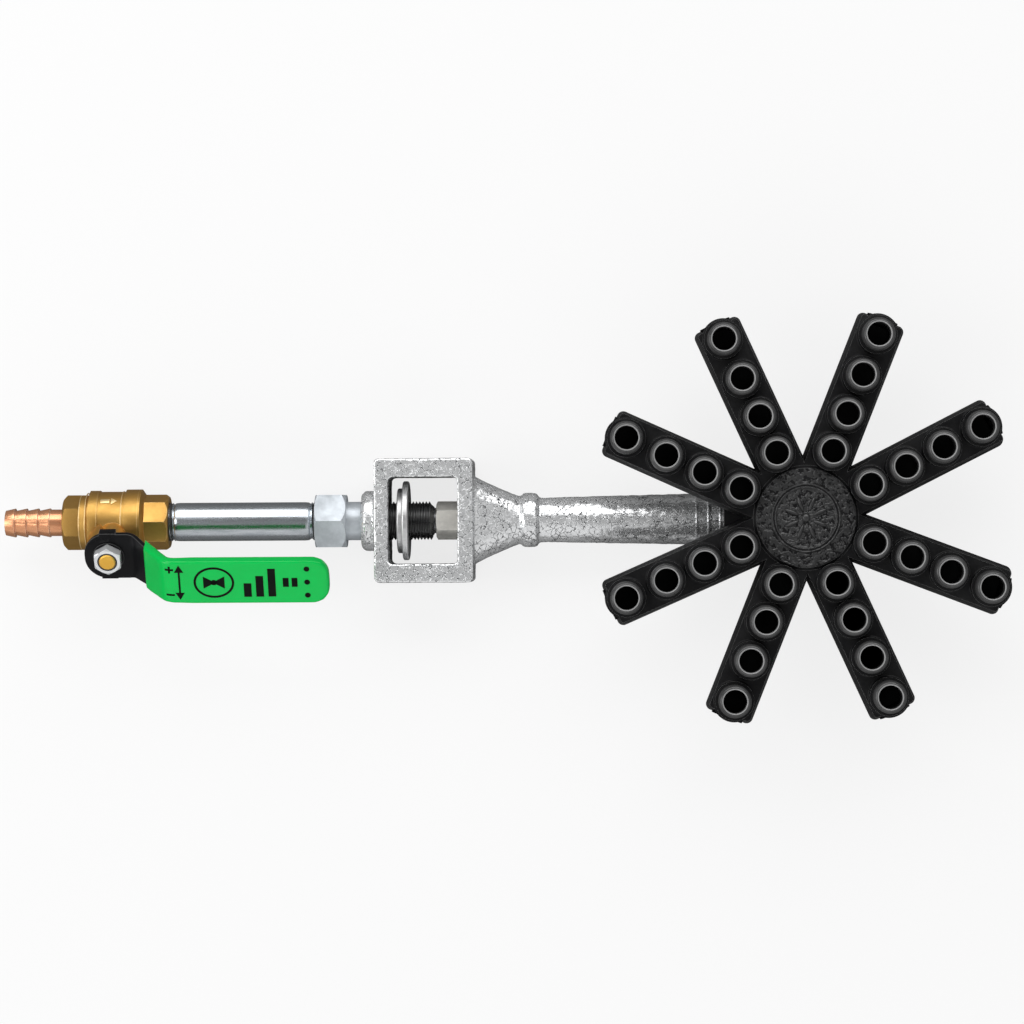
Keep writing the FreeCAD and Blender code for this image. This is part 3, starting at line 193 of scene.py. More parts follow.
def merged_copy(node, name):
    """A copy of a CAD node with its loose triangles merged and its flat faces whole."""
    thing = bpy.data.objects.new(name, frame["nodes"][node].data.copy())
    bpy.context.scene.collection.objects.link(thing)
    edit(thing)
    bpy.ops.mesh.remove_doubles(threshold=MERGE_DISTANCE * MM)
    bpy.ops.mesh.dissolve_limited(angle_limit=FLAT_ANGLE)
    return leave_edit()


def mark_edges(thing, has_painted_edge_light):
    """Marks the faces that take a material's edge colour, mostly a painted highlight, for the
    materials to read.
    """
    mark = thing.data.attributes.new("edge", "FLOAT", "FACE")
    for face in thing.data.polygons:
        mark.data[face.index].value = 1.0 if has_painted_edge_light(face) else 0.0


def eased_copy(node, name, width, segments=2):
    """A merged copy of a CAD node whose edges are rounded; the rounding is marked for the edge
    colour, mostly a painted highlight.

    The two empty material slots let the bevel tell its own faces from the rest.
    """
    thing = merged_copy(node, name)
    thing.data.materials.clear()
    thing.data.materials.append(None)
    thing.data.materials.append(None)
    for face in thing.data.polygons:
        face.material_index = 0
    use(thing, "Edges", "BEVEL", width=width * MM, segments=segments, limit_method="ANGLE",
        angle_limit=EASED_ANGLE, miter_outer="MITER_ARC", material=1)
    mark_edges(thing, lambda face: face.material_index == 1)
    for face in thing.data.polygons:
        face.material_index = 0
    return smooth(thing)


def roughen(thing, name, size, height, depth, middle, contrast=1.0, direction="NORMAL"):
    """Raises a piece's skin by cloud noise, its lumps and their height in millimetres."""
    noise = bpy.data.textures.new(name, "CLOUDS")
    noise.noise_scale = size * MM
    noise.noise_depth = depth
    noise.contrast = contrast
    return use(thing, name, "DISPLACE", texture=noise, texture_coords="LOCAL",
               strength=height * MM, mid_level=middle, direction=direction)


def lay_along_pipe(thing, place=0):
    """Tips a piece made about the upright axis onto the pipe's axis, at a place along it."""
    thing.rotation_euler = (0, math.radians(90), 0)
    thing.location = (place * MM, 0, PIPE_Z * MM)
    return settle(thing)


def turned(name, rings, sides, along_x=False, closed=True):
    """A lathe-turned piece: a circle is extruded from ring to ring.

    Each ring is a radius and a place on the axis.
    """
    radius, place = rings[0]
    bpy.ops.mesh.primitive_circle_add(vertices=sides, radius=radius * MM,
                                      location=(0, 0, place * MM))
    thing = bpy.context.object
    thing.name = name
    settle(thing)
    edit(thing)
    for radius_now, place_now in rings[1:]:
        bpy.ops.mesh.extrude_edges_move(
            TRANSFORM_OT_translate={"value": (0, 0, (place_now - place) * MM)})
        grow = radius_now / radius
        bpy.ops.transform.resize(value=(grow, grow, 1), center_override=(0, 0, 0))
        radius, place = radius_now, place_now
    if closed:
        bpy.ops.mesh.select_all(action="SELECT")
        bpy.ops.mesh.region_to_loop()
        bpy.ops.mesh.bridge_edge_loops()
    face_outward()
    return lay_along_pipe(thing) if along_x else thing


def arc(centre_radius, centre_place, wide, tall, start, end, steps):
    """Rings along a round or flattened arc; angles in degrees from straight outward."""
    rings = []
    for index in range(steps + 1):
        angle = math.radians(start + (end - start) * index / steps)
        rings.append((centre_radius + wide * math.cos(angle),
                      centre_place + tall * math.sin(angle)))
    return rings


def line_round_pipe(place, radius, thickness, sides):
    """A raised line round the pipe's axis."""
    bpy.ops.mesh.primitive_torus_add(major_radius=radius * MM, minor_radius=thickness * MM,
                                     major_segments=96, minor_segments=sides)
    return lay_along_pipe(bpy.context.object, place)


# ---- Materials ----
def add(tree, kind, place, **settings):
    """A new shader node; a setting is one of its inputs or else a property."""
    node = tree.nodes.new(kind)
    node.location = place
    for key, value in settings.items():
        if key in node.inputs:
            node.inputs[key].default_value = value
        else:
            setattr(node, key, value)
    return node


def remap(tree, place, source=(0.0, 1.0), result=(0.0, 1.0), shape="LINEAR"):
    """A node that maps one span of values onto another."""
    node = add(tree, "ShaderNodeMapRange", place, interpolation_type=shape)
    node.inputs["From Min"].default_value, node.inputs["From Max"].default_value = source
    node.inputs["To Min"].default_value, node.inputs["To Max"].default_value = result
    return node


def wire(tree, *links):
    """Joins nodes: each link is a node and its output, and a node and its input."""
    for source, output, target, socket in links:
        tree.links.new(source.outputs[output], target.inputs[socket])


def group(name, inputs, outputs):
    """A shader node group with named number inputs; returns it with its two end nodes."""
    tree = bpy.data.node_groups.new(name, "ShaderNodeTree")
    for label, value in inputs:
        socket = tree.interface.new_socket(name=label, in_out="INPUT",
                                           socket_type="NodeSocketFloat")
        socket.default_value = value
    for label in outputs:
        tree.interface.new_socket(name=label, in_out="OUTPUT", socket_type="NodeSocketFloat")
    inside = add(tree, "NodeGroupInput", (-900, 0))
    return tree, inside, add(tree, "NodeGroupOutput", (600, 0))


def make_cast_skin():
    """The skin of a sand casting: fine grain on slow waves, and a mottle for colour."""
    tree, inside, out = group("cast_skin", [("Grain", 900.0), ("Wave", 160.0), ("Wave Share", 0.5)],
                              ["Height", "Mask"])
    place = add(tree, "ShaderNodeTexCoord", (-900, -300))
    grain = add(tree, "ShaderNodeTexNoise", (-600, 200), Detail=6.0, Roughness=0.6)
    wave = add(tree, "ShaderNodeTexNoise", (-600, -100), Detail=3.0, Roughness=0.5)
    mottle = add(tree, "ShaderNodeTexNoise", (-600, -400), Detail=4.0, Roughness=0.65, Scale=70.0)
    both = add(tree, "ShaderNodeMix", (-200, 100))
    wire(tree,
         (place, "Object", grain, "Vector"), (place, "Object", wave, "Vector"),
         (place, "Object", mottle, "Vector"), (inside, "Grain", grain, "Scale"),
         (inside, "Wave", wave, "Scale"), (inside, "Wave Share", both, "Factor"),
         (grain, "Fac", both, "A"), (wave, "Fac", both, "B"),
         (both, "Result", out, "Height"), (mottle, "Fac", out, "Mask"))
    return tree


def make_turned_marks():
    """Tool marks round the pipe's axis, and smears along it."""
    tree, inside, out = group("turned_marks", [("Fineness", 1500.0), ("Smear", 60.0)],
                              ["Height", "Mask"])
    place = add(tree, "ShaderNodeTexCoord", (-900, -300))
    around = add(tree, "ShaderNodeMapping", (-700, 200), Scale=(1.0, 0.02, 0.02))
    along = add(tree, "ShaderNodeMapping", (-700, -200), Scale=(0.12, 1.0, 1.0))
    marks = add(tree, "ShaderNodeTexNoise", (-400, 200), Detail=3.0, Roughness=0.7)
    smears = add(tree, "ShaderNodeTexNoise", (-400, -200), Detail=5.0, Roughness=0.7)
    wire(tree,
         (place, "Object", around, "Vector"), (place, "Object", along, "Vector"),
         (around, "Vector", marks, "Vector"), (along, "Vector", smears, "Vector"),
         (inside, "Fineness", marks, "Scale"), (inside, "Smear", smears, "Scale"),
         (marks, "Fac", out, "Height"), (smears, "Fac", out, "Mask"))
    return tree


def make_zinc_crackle():
    """Hot-dip zinc: broken creases between bright spangles, on slow waves; the creases are low in
    the height, and their dark colour is painted shade.
    """
    tree, inside, out = group(
        "zinc_crackle", [("Cells", 420.0), ("Crease", 0.10), ("Wander", 0.0016)],
        ["Height", "Mask"])
    place = add(tree, "ShaderNodeTexCoord", (-1100, -300))
    stray = add(tree, "ShaderNodeTexNoise", (-900, 200), Detail=4.0, Roughness=0.65, Scale=380.0)
    sway = add(tree, "ShaderNodeVectorMath", (-700, 200), operation="MULTIPLY_ADD")
    cells = add(tree, "ShaderNodeTexVoronoi", (-500, 200), feature="DISTANCE_TO_EDGE")
    crease = remap(tree, (-300, 200))
    patches = add(tree, "ShaderNodeTexNoise", (-500, -150), Detail=5.0, Roughness=0.7, Scale=170.0)
    gate = remap(tree, (-300, -150), source=(0.44, 0.60))
    broken = add(tree, "ShaderNodeMath", (-100, 100), operation="MAXIMUM")
    wave = add(tree, "ShaderNodeTexNoise", (-500, -450), Detail=3.0, Roughness=0.55, Scale=450.0)
    height = add(tree, "ShaderNodeMix", (150, -100), Factor=0.5)
    wire(tree,
         (place, "Object", stray, "Vector"), (stray, "Color", sway, 0),
         (inside, "Wander", sway, 1), (place, "Object", sway, 2),
         (sway, "Vector", cells, "Vector"), (inside, "Cells", cells, "Scale"),
         (cells, "Distance", crease, "Value"), (inside, "Crease", crease, "From Max"),
         (place, "Object", patches, "Vector"), (patches, "Fac", gate, "Value"),
         (crease, "Result", broken, 0), (gate, "Result", broken, 1),
         (place, "Object", wave, "Vector"), (broken, "Value", height, "A"),
         (wave, "Fac", height, "B"), (height, "Result", out, "Height"),
         (broken, "Value", out, "Mask"))
    return tree


CAST_SKIN = make_cast_skin()
TURNED_MARKS = make_turned_marks()
ZINC_CRACKLE = make_zinc_crackle()
# The part of a mask's span over which one colour turns into the other.
MASK_SPAN = (0.35, 0.65)


def cast(grain, wave, share):
    """The cast skin with its three values."""
    return CAST_SKIN, {"Grain": grain, "Wave": wave, "Wave Share": share}


def lathe(fineness, smear):
    """The turned marks with their two values."""
    return TURNED_MARKS, {"Fineness": fineness, "Smear": smear}


def crackle(cells, crease, wander):
    """The zinc crackle with its three values."""
    return ZINC_CRACKLE, {"Cells": cells, "Crease": crease, "Wander": wander}


def finish_material(name, texture, base, patch, rough, bump, relief, edge=None, **constants):
    """A material on one texture group.

    Its mask mixes the base and patch colours and the two roughnesses, and its height makes a
    bump, with the relief in millimetres. With an edge colour, the marked faces take that colour
    as painted light, mostly a painted highlight on rounded edges. The constants are set on the
    shader's own sockets.
    """
    effect, values = texture
    material = bpy.data.materials.new(name)
    material.use_nodes = True
    tree = material.node_tree
    shader = tree.nodes["Principled BSDF"]
    for key, value in constants.items():
        shader.inputs[key.replace("_", " ")].default_value = value
    skin = add(tree, "ShaderNodeGroup", (-900, 0), node_tree=effect)
    for key, value in values.items():
        skin.inputs[key].default_value = value
    sharpen = remap(tree, (-650, 100), source=MASK_SPAN)
    colour = add(tree, "ShaderNodeMix", (-400, 250), data_type="RGBA")
    colour.inputs["A"].default_value = (*base, 1)
    colour.inputs["B"].default_value = (*patch, 1)
    polish = remap(tree, (-400, 0), result=rough)
    raised = add(tree, "ShaderNodeBump", (-400, -300), Strength=bump, Distance=relief * MM)
    shown = colour
    if edge:
        # The marked faces take the edge colour: painted light, mostly a painted highlight on the
        # rounded edges.
        mark = add(tree, "ShaderNodeAttribute", (-400, 500), attribute_name="edge")
        shown = add(tree, "ShaderNodeMix", (-200, 350), data_type="RGBA")
        shown.inputs["B"].default_value = (*edge, 1)
        wire(tree, (mark, "Fac", shown, "Factor"), (colour, "Result", shown, "A"))
    wire(tree,
         (skin, "Mask", sharpen, "Value"), (sharpen, "Result", colour, "Factor"),
         (sharpen, "Result", polish, "Value"), (skin, "Height", raised, "Height"),
         (shown, "Result", shader, "Base Color"), (polish, "Result", shader, "Roughness"),
         (raised, "Normal", shader, "Normal"))
    return material


# The star's edge colour is a painted highlight: its rounded edges are painted grey against the
# black faces.
STAR_IRON = finish_material(
    "star_iron", cast(700.0, 220.0, 0.45), base=(0.005, 0.005, 0.0055),
    patch=(0.011, 0.011, 0.0115), rough=(0.30, 0.45), bump=0.4, relief=0.35,
    edge=(0.20, 0.20, 0.20), Specular_IOR_Level=0.16)
HUB_IRON = finish_material(
    "hub_iron", cast(900.0, 300.0, 0.4), base=(0.010, 0.010, 0.0105),
    patch=(0.018, 0.018, 0.0185), rough=(0.28, 0.42), bump=0.6, relief=0.35,
    Specular_IOR_Level=0.7)
# The jets' edge colour is a painted highlight on the inner ring of each lip.
JET_IRON = finish_material(
    "jet_iron", cast(900.0, 250.0, 0.3), base=(0.036, 0.036, 0.0365),
    patch=(0.058, 0.058, 0.0585), rough=(0.22, 0.34), bump=0.3, relief=0.3,
    edge=(0.27, 0.27, 0.27))
# The dark base colour is painted shade in the zinc's creases; the bright patch colour is the
# spangles.
GALVANISED = finish_material(
    "galvanised_casting", crackle(330.0, 0.065, 0.0036), base=(0.04, 0.042, 0.045),
    patch=(0.94, 0.95, 0.96), rough=(0.55, 0.24), bump=0.85, relief=0.4, Metallic=0.76)
ZINC_PIPE = finish_material(
    "zinc_pipe", lathe(900.0, 500.0), base=(0.74, 0.78, 0.82), patch=(0.54, 0.58, 0.62),
    rough=(0.18, 0.32), bump=0.3, relief=0.2, Metallic=1.0)
# The hexagon's edge colour is a painted highlight on its rounded edges.
ZINC_HEXAGON = finish_material(
    "zinc_hexagon", cast(2200.0, 500.0, 0.4), base=(0.60, 0.64, 0.68),
    patch=(0.42, 0.45, 0.48), rough=(0.34, 0.50), bump=0.4, relief=0.3,
    edge=(0.88, 0.90, 0.94), Metallic=0.5)
# The brass's edge colour is a painted highlight on its rounded edges and on the barrel's raised
# lines and arrow.
VALVE_BRASS = finish_material(
    "valve_brass", cast(1500.0, 300.0, 0.3), base=(0.60, 0.35, 0.095),
    patch=(0.49, 0.275, 0.07), rough=(0.36, 0.50), bump=0.3, relief=0.25,
    edge=(0.95, 0.72, 0.36), Metallic=0.92)
# The stem brass's edge colour is a painted highlight on its rounded edges.
STEM_BRASS = finish_material(
    "stem_brass", cast(2500.0, 800.0, 0.3), base=(0.92, 0.55, 0.09), patch=(0.82, 0.46, 0.07),
    rough=(0.35, 0.50), bump=0.2, relief=0.1, edge=(0.95, 0.70, 0.30), Metallic=0.7)
# The barb's edge colour is a painted highlight on its rounded edges and tooth crests.
COPPER_BARB = finish_material(
    "copper_barb", lathe(2500.0, 300.0), base=(0.90, 0.46, 0.25), patch=(0.78, 0.35, 0.18),
    rough=(0.20, 0.34), bump=0.25, relief=0.12, edge=(0.98, 0.72, 0.52), Metallic=0.78)
BLACK_THREAD = finish_material(
    "black_thread", lathe(1500.0, 200.0), base=(0.09, 0.09, 0.092), patch=(0.17, 0.17, 0.17),
    rough=(0.25, 0.40), bump=0.3, relief=0.2, Metallic=0.85)
# The edge colour is a painted highlight on the rounded edges of the disc and lock ring.
DARK_STEEL = finish_material(
    "dark_steel", lathe(1200.0, 150.0), base=(0.46, 0.46, 0.465), patch=(0.74, 0.74, 0.74),
    rough=(0.28, 0.45), bump=0.4, relief=0.3, edge=(0.80, 0.80, 0.80), Metallic=0.8)
# The hood's edge colour is a painted highlight on its rounded edges.
HOOD_STEEL = finish_material(
    "hood_steel", cast(1500.0, 300.0, 0.5), base=(0.72, 0.70, 0.65), patch=(0.46, 0.45, 0.42),
    rough=(0.30, 0.45), bump=0.35, relief=0.3, edge=(0.86, 0.85, 0.82), Metallic=0.35)
# The lever's edge colour is a painted highlight: its rounded edges are painted dark grey against
# the black.
BLACK_LEVER = finish_material(
    "black_lever", cast(1200.0, 300.0, 0.5), base=(0.004, 0.004, 0.0045),
    patch=(0.007, 0.007, 0.008), rough=(0.25, 0.38), bump=0.2, relief=0.2,
    edge=(0.08, 0.08, 0.08), Specular_IOR_Level=0.12)
GREEN_VINYL = finish_material(
    "green_vinyl", cast(300.0, 90.0, 0.7), base=(0.0, 0.50, 0.078), patch=(0.0, 0.46, 0.070),
    rough=(0.14, 0.22), bump=0.12, relief=0.4, Specular_IOR_Level=0.28)
# The nut's rounded edges are painted darker than its faces.
ZINC_NUT = finish_material(
    "zinc_nut", cast(2500.0, 600.0, 0.4), base=(0.90, 0.91, 0.92), patch=(0.76, 0.77, 0.79),
    rough=(0.18, 0.30), bump=0.2, relief=0.1, edge=(0.50, 0.51, 0.53), Metallic=0.6)
DARK_INSERT = finish_material(
    "dark_insert", cast(2500.0, 600.0, 0.4), base=(0.02, 0.02, 0.02), patch=(0.03, 0.03, 0.03),
    rough=(0.5, 0.6), bump=0.2, relief=0.1)
BALL_CHROME = finish_material(
    "ball_chrome", cast(3000.0, 600.0, 0.4), base=(0.85, 0.85, 0.86), patch=(0.80, 0.80, 0.82),
    rough=(0.06, 0.12), bump=0.05, relief=0.05, Metallic=1.0)
WHITE_SEAL = finish_material(
    "white_seal", cast(1500.0, 300.0, 0.4), base=(0.86, 0.86, 0.84), patch=(0.80, 0.80, 0.78),
    rough=(0.35, 0.45), bump=0.1, relief=0.1)
GRIP_INK = finish_material(
    "grip_ink", cast(1500.0, 300.0, 0.4), base=(0.002, 0.003, 0.002),
    patch=(0.004, 0.006, 0.004), rough=(0.30, 0.40), bump=0.1, relief=0.1,
    Specular_IOR_Level=0.1)


# ---- Star; lengths in millimetres ----
JET_MOUTH = 7.1
JET_ROLL = 3.0
JET_LIP = 0.5
JET_SEAT_GAP = 0.05
# The lip's top ring, this deep and this far in, is painted lighter as a painted highlight.
JET_RIM_DEPTH = 0.6
JET_RIM_REACH = 0.12
STAR_EDGE = 0.9
PLUG_EDGE = 0.4
FOOT = 1.2
FOOT_GAP = 0.05
FOOT_SINK = 0.1
# The foot's top ring, inside the boss and below its top, and the angles of its rounding.
FOOT_COLLAR = (0.6, 0.8)
FOOT_ANGLES = (90, 70, 50, 30, 15, 0)
# The flash's thickness, and the share of it by which its line is drawn inward.
FLASH = 0.7
FLASH_SINK = 1.2


def read_jet_places():
    """Each arm's jet axes: the middles of the four separate rings in its CAD node."""
    places = {}
    for arm in range(1, ARM_COUNT + 1):
        probe = merged_copy("jet_tips_arm_%d" % arm, "probe")
        edit(probe)
        bpy.ops.mesh.separate(type="LOOSE")
        leave_edit()
        centres = []
        for ring in list(bpy.context.selected_objects):
            xs = [vertex.co.x for vertex in ring.data.vertices]
            ys = [vertex.co.y for vertex in ring.data.vertices]
            middle = Vector(((min(xs) + max(xs)) / 2, (min(ys) + max(ys)) / 2))
            centres.append(middle / MM)
            drop(ring)
        places[arm] = sorted(centres, key=lambda centre: centre.length)
    return places


JET_PLACES = read_jet_places()


def copies_at_jets(thing, arm):
    """Copies of a piece, one at each jet of an arm."""
    twins = []
    for index, centre in enumerate(JET_PLACES[arm]):
        twin = copy_of(thing, "%s_%d_%d" % (thing.name, arm, index))
        twin.location = (centre.x * MM, centre.y * MM, 0)
        twins.append(settle(twin))
    return twins


def make_jet_tips():
    """Thirty-two jet tips: an open tube with a rolled lip, turned once and copied to each place."""
    rings = [(SPIGOT_RADIUS, JET_FLOOR), (SPIGOT_RADIUS, BOSS_TOP),
             (JET_RADIUS, BOSS_TOP + JET_SEAT_GAP)]
    rings += arc(JET_MOUTH, JET_TOP - JET_ROLL, JET_RADIUS - JET_MOUTH, JET_ROLL,
                 start=0, end=90, steps=8)
    rings += arc(JET_BORE + JET_LIP, JET_TOP - JET_LIP, JET_LIP, JET_LIP,
                 start=90, end=180, steps=4)
    rings += [(JET_BORE, JET_FLOOR)]
    tip = turned("jet_tip", rings, sides=64)
    smooth(tip, 40)
    # The lip's inner ring is marked for the jets' painted highlight.
    mark_edges(tip, lambda face: face.center.z > (JET_TOP - JET_RIM_DEPTH) * MM
               and face.center.xy.length < (JET_MOUTH + JET_RIM_REACH) * MM)
    for arm in range(1, ARM_COUNT + 1):
        node = "jet_tips_arm_%d" % arm
        tips = join(node + "_turned", copies_at_jets(tip, arm))
        dress(tips, "burner", JET_IRON, "jet_iron", node)
    drop(tip)


def make_flash():
    """The thin flash that runs round the star where the two halves of its mould met."""
    flash = merged_copy("burner_star", "parting_flash")
    edit(flash)
    bpy.ops.mesh.bisect(plane_co=(0, 0, ARM_PARTING * MM), plane_no=(0, 0, 1),
                        clear_inner=True, clear_outer=True)
    bpy.ops.mesh.separate(type="LOOSE")
    leave_edit()
    loops = sorted(bpy.context.selected_objects, key=lambda loop: max(loop.dimensions))
    for loop in loops[:-1]:
        drop(loop)
    only(loops[-1])
    bpy.ops.object.convert(target="CURVE")
    line = bpy.context.object
    line.data.bevel_depth = FLASH * MM
    line.data.bevel_resolution = 2
    bpy.ops.object.convert(target="MESH")
    flash = bpy.context.object
    inward = 1 - FLASH_SINK * FLASH / STAR_HIGH.y
    flash.scale = (inward, inward, 1)
    return smooth(settle(flash), 60)


def make_star():
    """The casting with rounded edges, a soft foot round each boss and its parting flash."""
    star = eased_copy("burner_star", "star_casting", STAR_EDGE, segments=3)
    inset, below = FOOT_COLLAR
    rings = [(BOSS_RADIUS - inset, BOSS_TOP - below)]
    for angle in FOOT_ANGLES:
        turn = math.radians(angle)
        rings.append((BOSS_RADIUS + FOOT - FOOT * math.sin(turn) + FOOT_GAP,
                      ARM_TOP + FOOT - FOOT * math.cos(turn) - FOOT_SINK))
    foot = turned("boss_foot", rings, sides=48, closed=False)
    smooth(foot, 60)
    parts = []
    for arm in range(1, ARM_COUNT + 1):
        parts += copies_at_jets(foot, arm)
    drop(foot)
    parts += [make_flash(), star]
    dress(join("star_casting", parts), "burner", STAR_IRON, "star_iron", "burner_star")


def make_plugs():
    """The plugs at the arms' ends."""
    plugs = eased_copy("core_plugs", "core_plugs_domed", PLUG_EDGE)
    # The plugs' rounded edges take the star's painted highlight too.
    dress(plugs, "burner", STAR_IRON, "star_iron", "core_plugs")


# ---- Medallion on the hub; lengths in millimetres ----
MEDALLION_STEPS = 100
MEDALLION_SIDES = 330
MEDALLION_EDGE = 0.4
MEDALLION_LIFT = 0.1
# How far the disc's wall stands out from the hub, and how deep below its top.
MEDALLION_WALL = ((0.15, 1.2), (0.1, 0.3))
# The double ring line's two radii, half width and height.
RING_LINES = (16.65, 18.35)
RING_LINE_HALF = 0.75
RING_LINE_HEIGHT = 0.95
# Name, size, height and detail of the noise.
HAMMERED = (("hammered", 2.4, 0.5, 1), ("grain", 0.9, 0.55, 2))
RAY_COUNT = 8
RAY_REACH = 8.2
RAY_SIZE = (4.2, 1.25, 1.5)
MIDDLE_SIZE = (2.4, 2.4, 1.6)


def raised_bead(size, segments, reach=0, turn=0):
    """A long or round bead that lies half sunk in the hub's disc, turned about its middle."""
    bpy.ops.mesh.primitive_uv_sphere_add(segments=segments, ring_count=12, radius=MM)
    bead = bpy.context.object
    bead.scale = size
    bead.location = (reach * math.cos(turn) * MM, reach * math.sin(turn) * MM, DISC_TOP * MM)
    bead.rotation_euler = (0, 0, turn)
    return settle(bead)


def make_medallion():
    """The hammered disc on the hub, with a double ring line round a rosette of eight rays."""
    edge = DISC_RADIUS - MEDALLION_EDGE
    top = DISC_TOP + MEDALLION_LIFT
    rings = [(DISC_RADIUS + out, DISC_TOP - down) for out, down in MEDALLION_WALL]
    rings.append((edge, top))
    for index in range(1, MEDALLION_STEPS):
        radius = edge * (1 - index / MEDALLION_STEPS)
        lift = 0.0
        for line in RING_LINES:
            away = abs(radius - line)
            if away < RING_LINE_HALF:
                lift = RING_LINE_HEIGHT * (1 - (away / RING_LINE_HALF) ** 2)
        rings.append((radius, top + lift))
    disc = turned("hub_medallion", rings, MEDALLION_SIDES, closed=False)
    edit(disc)
    bpy.ops.mesh.region_to_loop()
    bpy.ops.mesh.fill_holes(sides=0)
    face_outward()
    for name, size, height, depth in HAMMERED:
        roughen(disc, name, size, height, depth, middle=0.5, contrast=1.6, direction="Z")
    parts = []
    for index in range(RAY_COUNT):
        turn = math.radians(360 / RAY_COUNT * (index + 0.5))
        parts.append(raised_bead(RAY_SIZE, segments=20, reach=RAY_REACH, turn=turn))
    parts += [raised_bead(MIDDLE_SIZE, segments=24), disc]
    dress(smooth(join("hub_medallion", parts), 60), "burner", HUB_IRON, "star_iron")


# ---- Mixer; lengths in millimetres ----
# Width of the rounding outside, and the share of it that the other edges get.
MIXER_EDGE = 3.2
MIXER_INNER_SHARE = 0.32
MIXER_MARGIN = 1.5
MIXER_VOXEL = 0.77
# Name, size and height of the noise.
GALVANISED_LUMPS = (("galvanised_lumps", 5.0, 0.45), ("galvanised_crackle", 1.9, 0.35))
# Place along the pipe, radius and thickness.
COLLAR_LINES = ((-58.6, 14.0, 0.6), (-52.0, 13.5, 0.7), (-45.5, 13.1, 0.7))


def on_frame_outside(end):
    """Whether a point, in millimetres, is on the outside of the air frame."""
    return (abs(end.y) > FRAME_HALF - MIXER_MARGIN or end.x < FRAME_FAR + MIXER_MARGIN
            or abs(end.x - FRAME_NEAR) < MIXER_MARGIN)


def make_mixer():
    """The galvanised casting, remeshed so that all its edges are soft and its skin is uneven."""
    mixer = merged_copy("mixer_casting", "mixer_cast")
    edit(mixer)
    bpy.ops.mesh.select_mode(type="EDGE")
    bpy.ops.mesh.select_all(action="DESELECT")
    bpy.ops.mesh.edges_select_sharp(sharpness=math.radians(60))
    leave_edit()
    bpy.context.tool_settings.mesh_select_mode = (True, False, False)
    share = mixer.data.attributes.new("bevel_weight_edge", "FLOAT", "EDGE")
    for edge in mixer.data.edges:
        if edge.select:
            ends = [mixer.data.vertices[index].co / MM for index in edge.vertices]
            outside = all(on_frame_outside(end) for end in ends)
            share.data[edge.index].value = 1.0 if outside else MIXER_INNER_SHARE
    use(mixer, "Edges", "BEVEL", width=MIXER_EDGE * MM, segments=4, limit_method="WEIGHT")
    use(mixer, "Cast", "REMESH", mode="VOXEL", voxel_size=MIXER_VOXEL * MM)
    use(mixer, "Soften", "SMOOTH", factor=0.5, iterations=4)
    # The lumps mostly sink in, so that the moving disc and lock ring stay clear of the frame.
    for name, size, height in GALVANISED_LUMPS:
        roughen(mixer, name, size, height, depth=2, middle=0.8)
    parts = [line_round_pipe(*line, sides=10) for line in COLLAR_LINES] + [mixer]
    whole = smooth(join("mixer_cast", parts), ALL_ROUND)
    dress(whole, "burner", GALVANISED, "galvanised_casting", "mixer_casting")


# ---- Threads and pipe; lengths in millimetres ----
NIPPLE_THREAD_DEPTH = 1.15
PIPE_THREAD_DEPTH = 1.0
PIPE_THREAD_SHOWS = 2.6
PIPE_BORE = 7.9
PIPE_RUN_OUT = 0.8
# How deep below the pipe's skin, and how far from the thread, at each step of the run-out.
PIPE_TAPER = ((0.2, 1.2), (0, 3))
PIPE_CREST_GAP = 0.1
THREAD_HIDDEN = 3
# Flat of a crest and of a root, as a share of the pitch.
CREST_SHARE = 0.08
THREAD_SINK = 0.05
# Where each dark ring of painted shadow starts, and its width.
GAP_SHADOW_PLACES = ((VALVE_FACE - 0.4, 2.2), (COUPLING_FACE - 1.0, 1.4))
# Its section: depth below the pipe's skin, and share of the width.
GAP_SHADOW_RING = ((2, 0), (0.25, 0), (0.1, 0.5), (0.5, 1), (2, 1))
NIPPLE_BORE = 7.2
SPUD_RADIUS = 7.0
SPUD_BORE = 4.2
NIPPLE_THREAD_START = 5
# Ends of the thread, of the cone and of the narrowing bore, as lengths before the hood.
NIPPLE_RUN_OUT = 3.2
CONE_START = 3.4
CONE_END = 1.2
CONE_DEPTH = 1.9
BORE_CONE = (9, 6)


def screw_thread(name, crest, root, start, end):
    """A helical thread round the pipe's axis between two places."""
    turns = max(1, round((end - start) / THREAD_PITCH))
    bpy.ops.mesh.primitive_plane_add(size=MM, location=(0, 0, 0))
    tooth = bpy.context.object
    tooth.name = name
    edit(tooth)
    bpy.ops.mesh.merge(type="CENTER")
    bpy.ops.transform.translate(value=(root * MM, 0, 0))
    flat = CREST_SHARE * THREAD_PITCH
    rise = THREAD_PITCH / 2 - flat
    for out, along in ((0, flat), (crest - root, rise), (0, flat), (root - crest, rise)):
        bpy.ops.mesh.extrude_vertices_move(
            TRANSFORM_OT_translate={"value": (out * MM, 0, along * MM)})
    leave_edit()
    use(tooth, "Thread", "SCREW", angle=math.radians(360), screw_offset=THREAD_PITCH * MM,
        axis="Z", steps=48, render_steps=48, iterations=turns, use_merge_vertices=True,
        merge_threshold=0.002 * MM)
    lay_along_pipe(tooth, start)
    edit(tooth)
    face_outward()
    return smooth(tooth, 30)


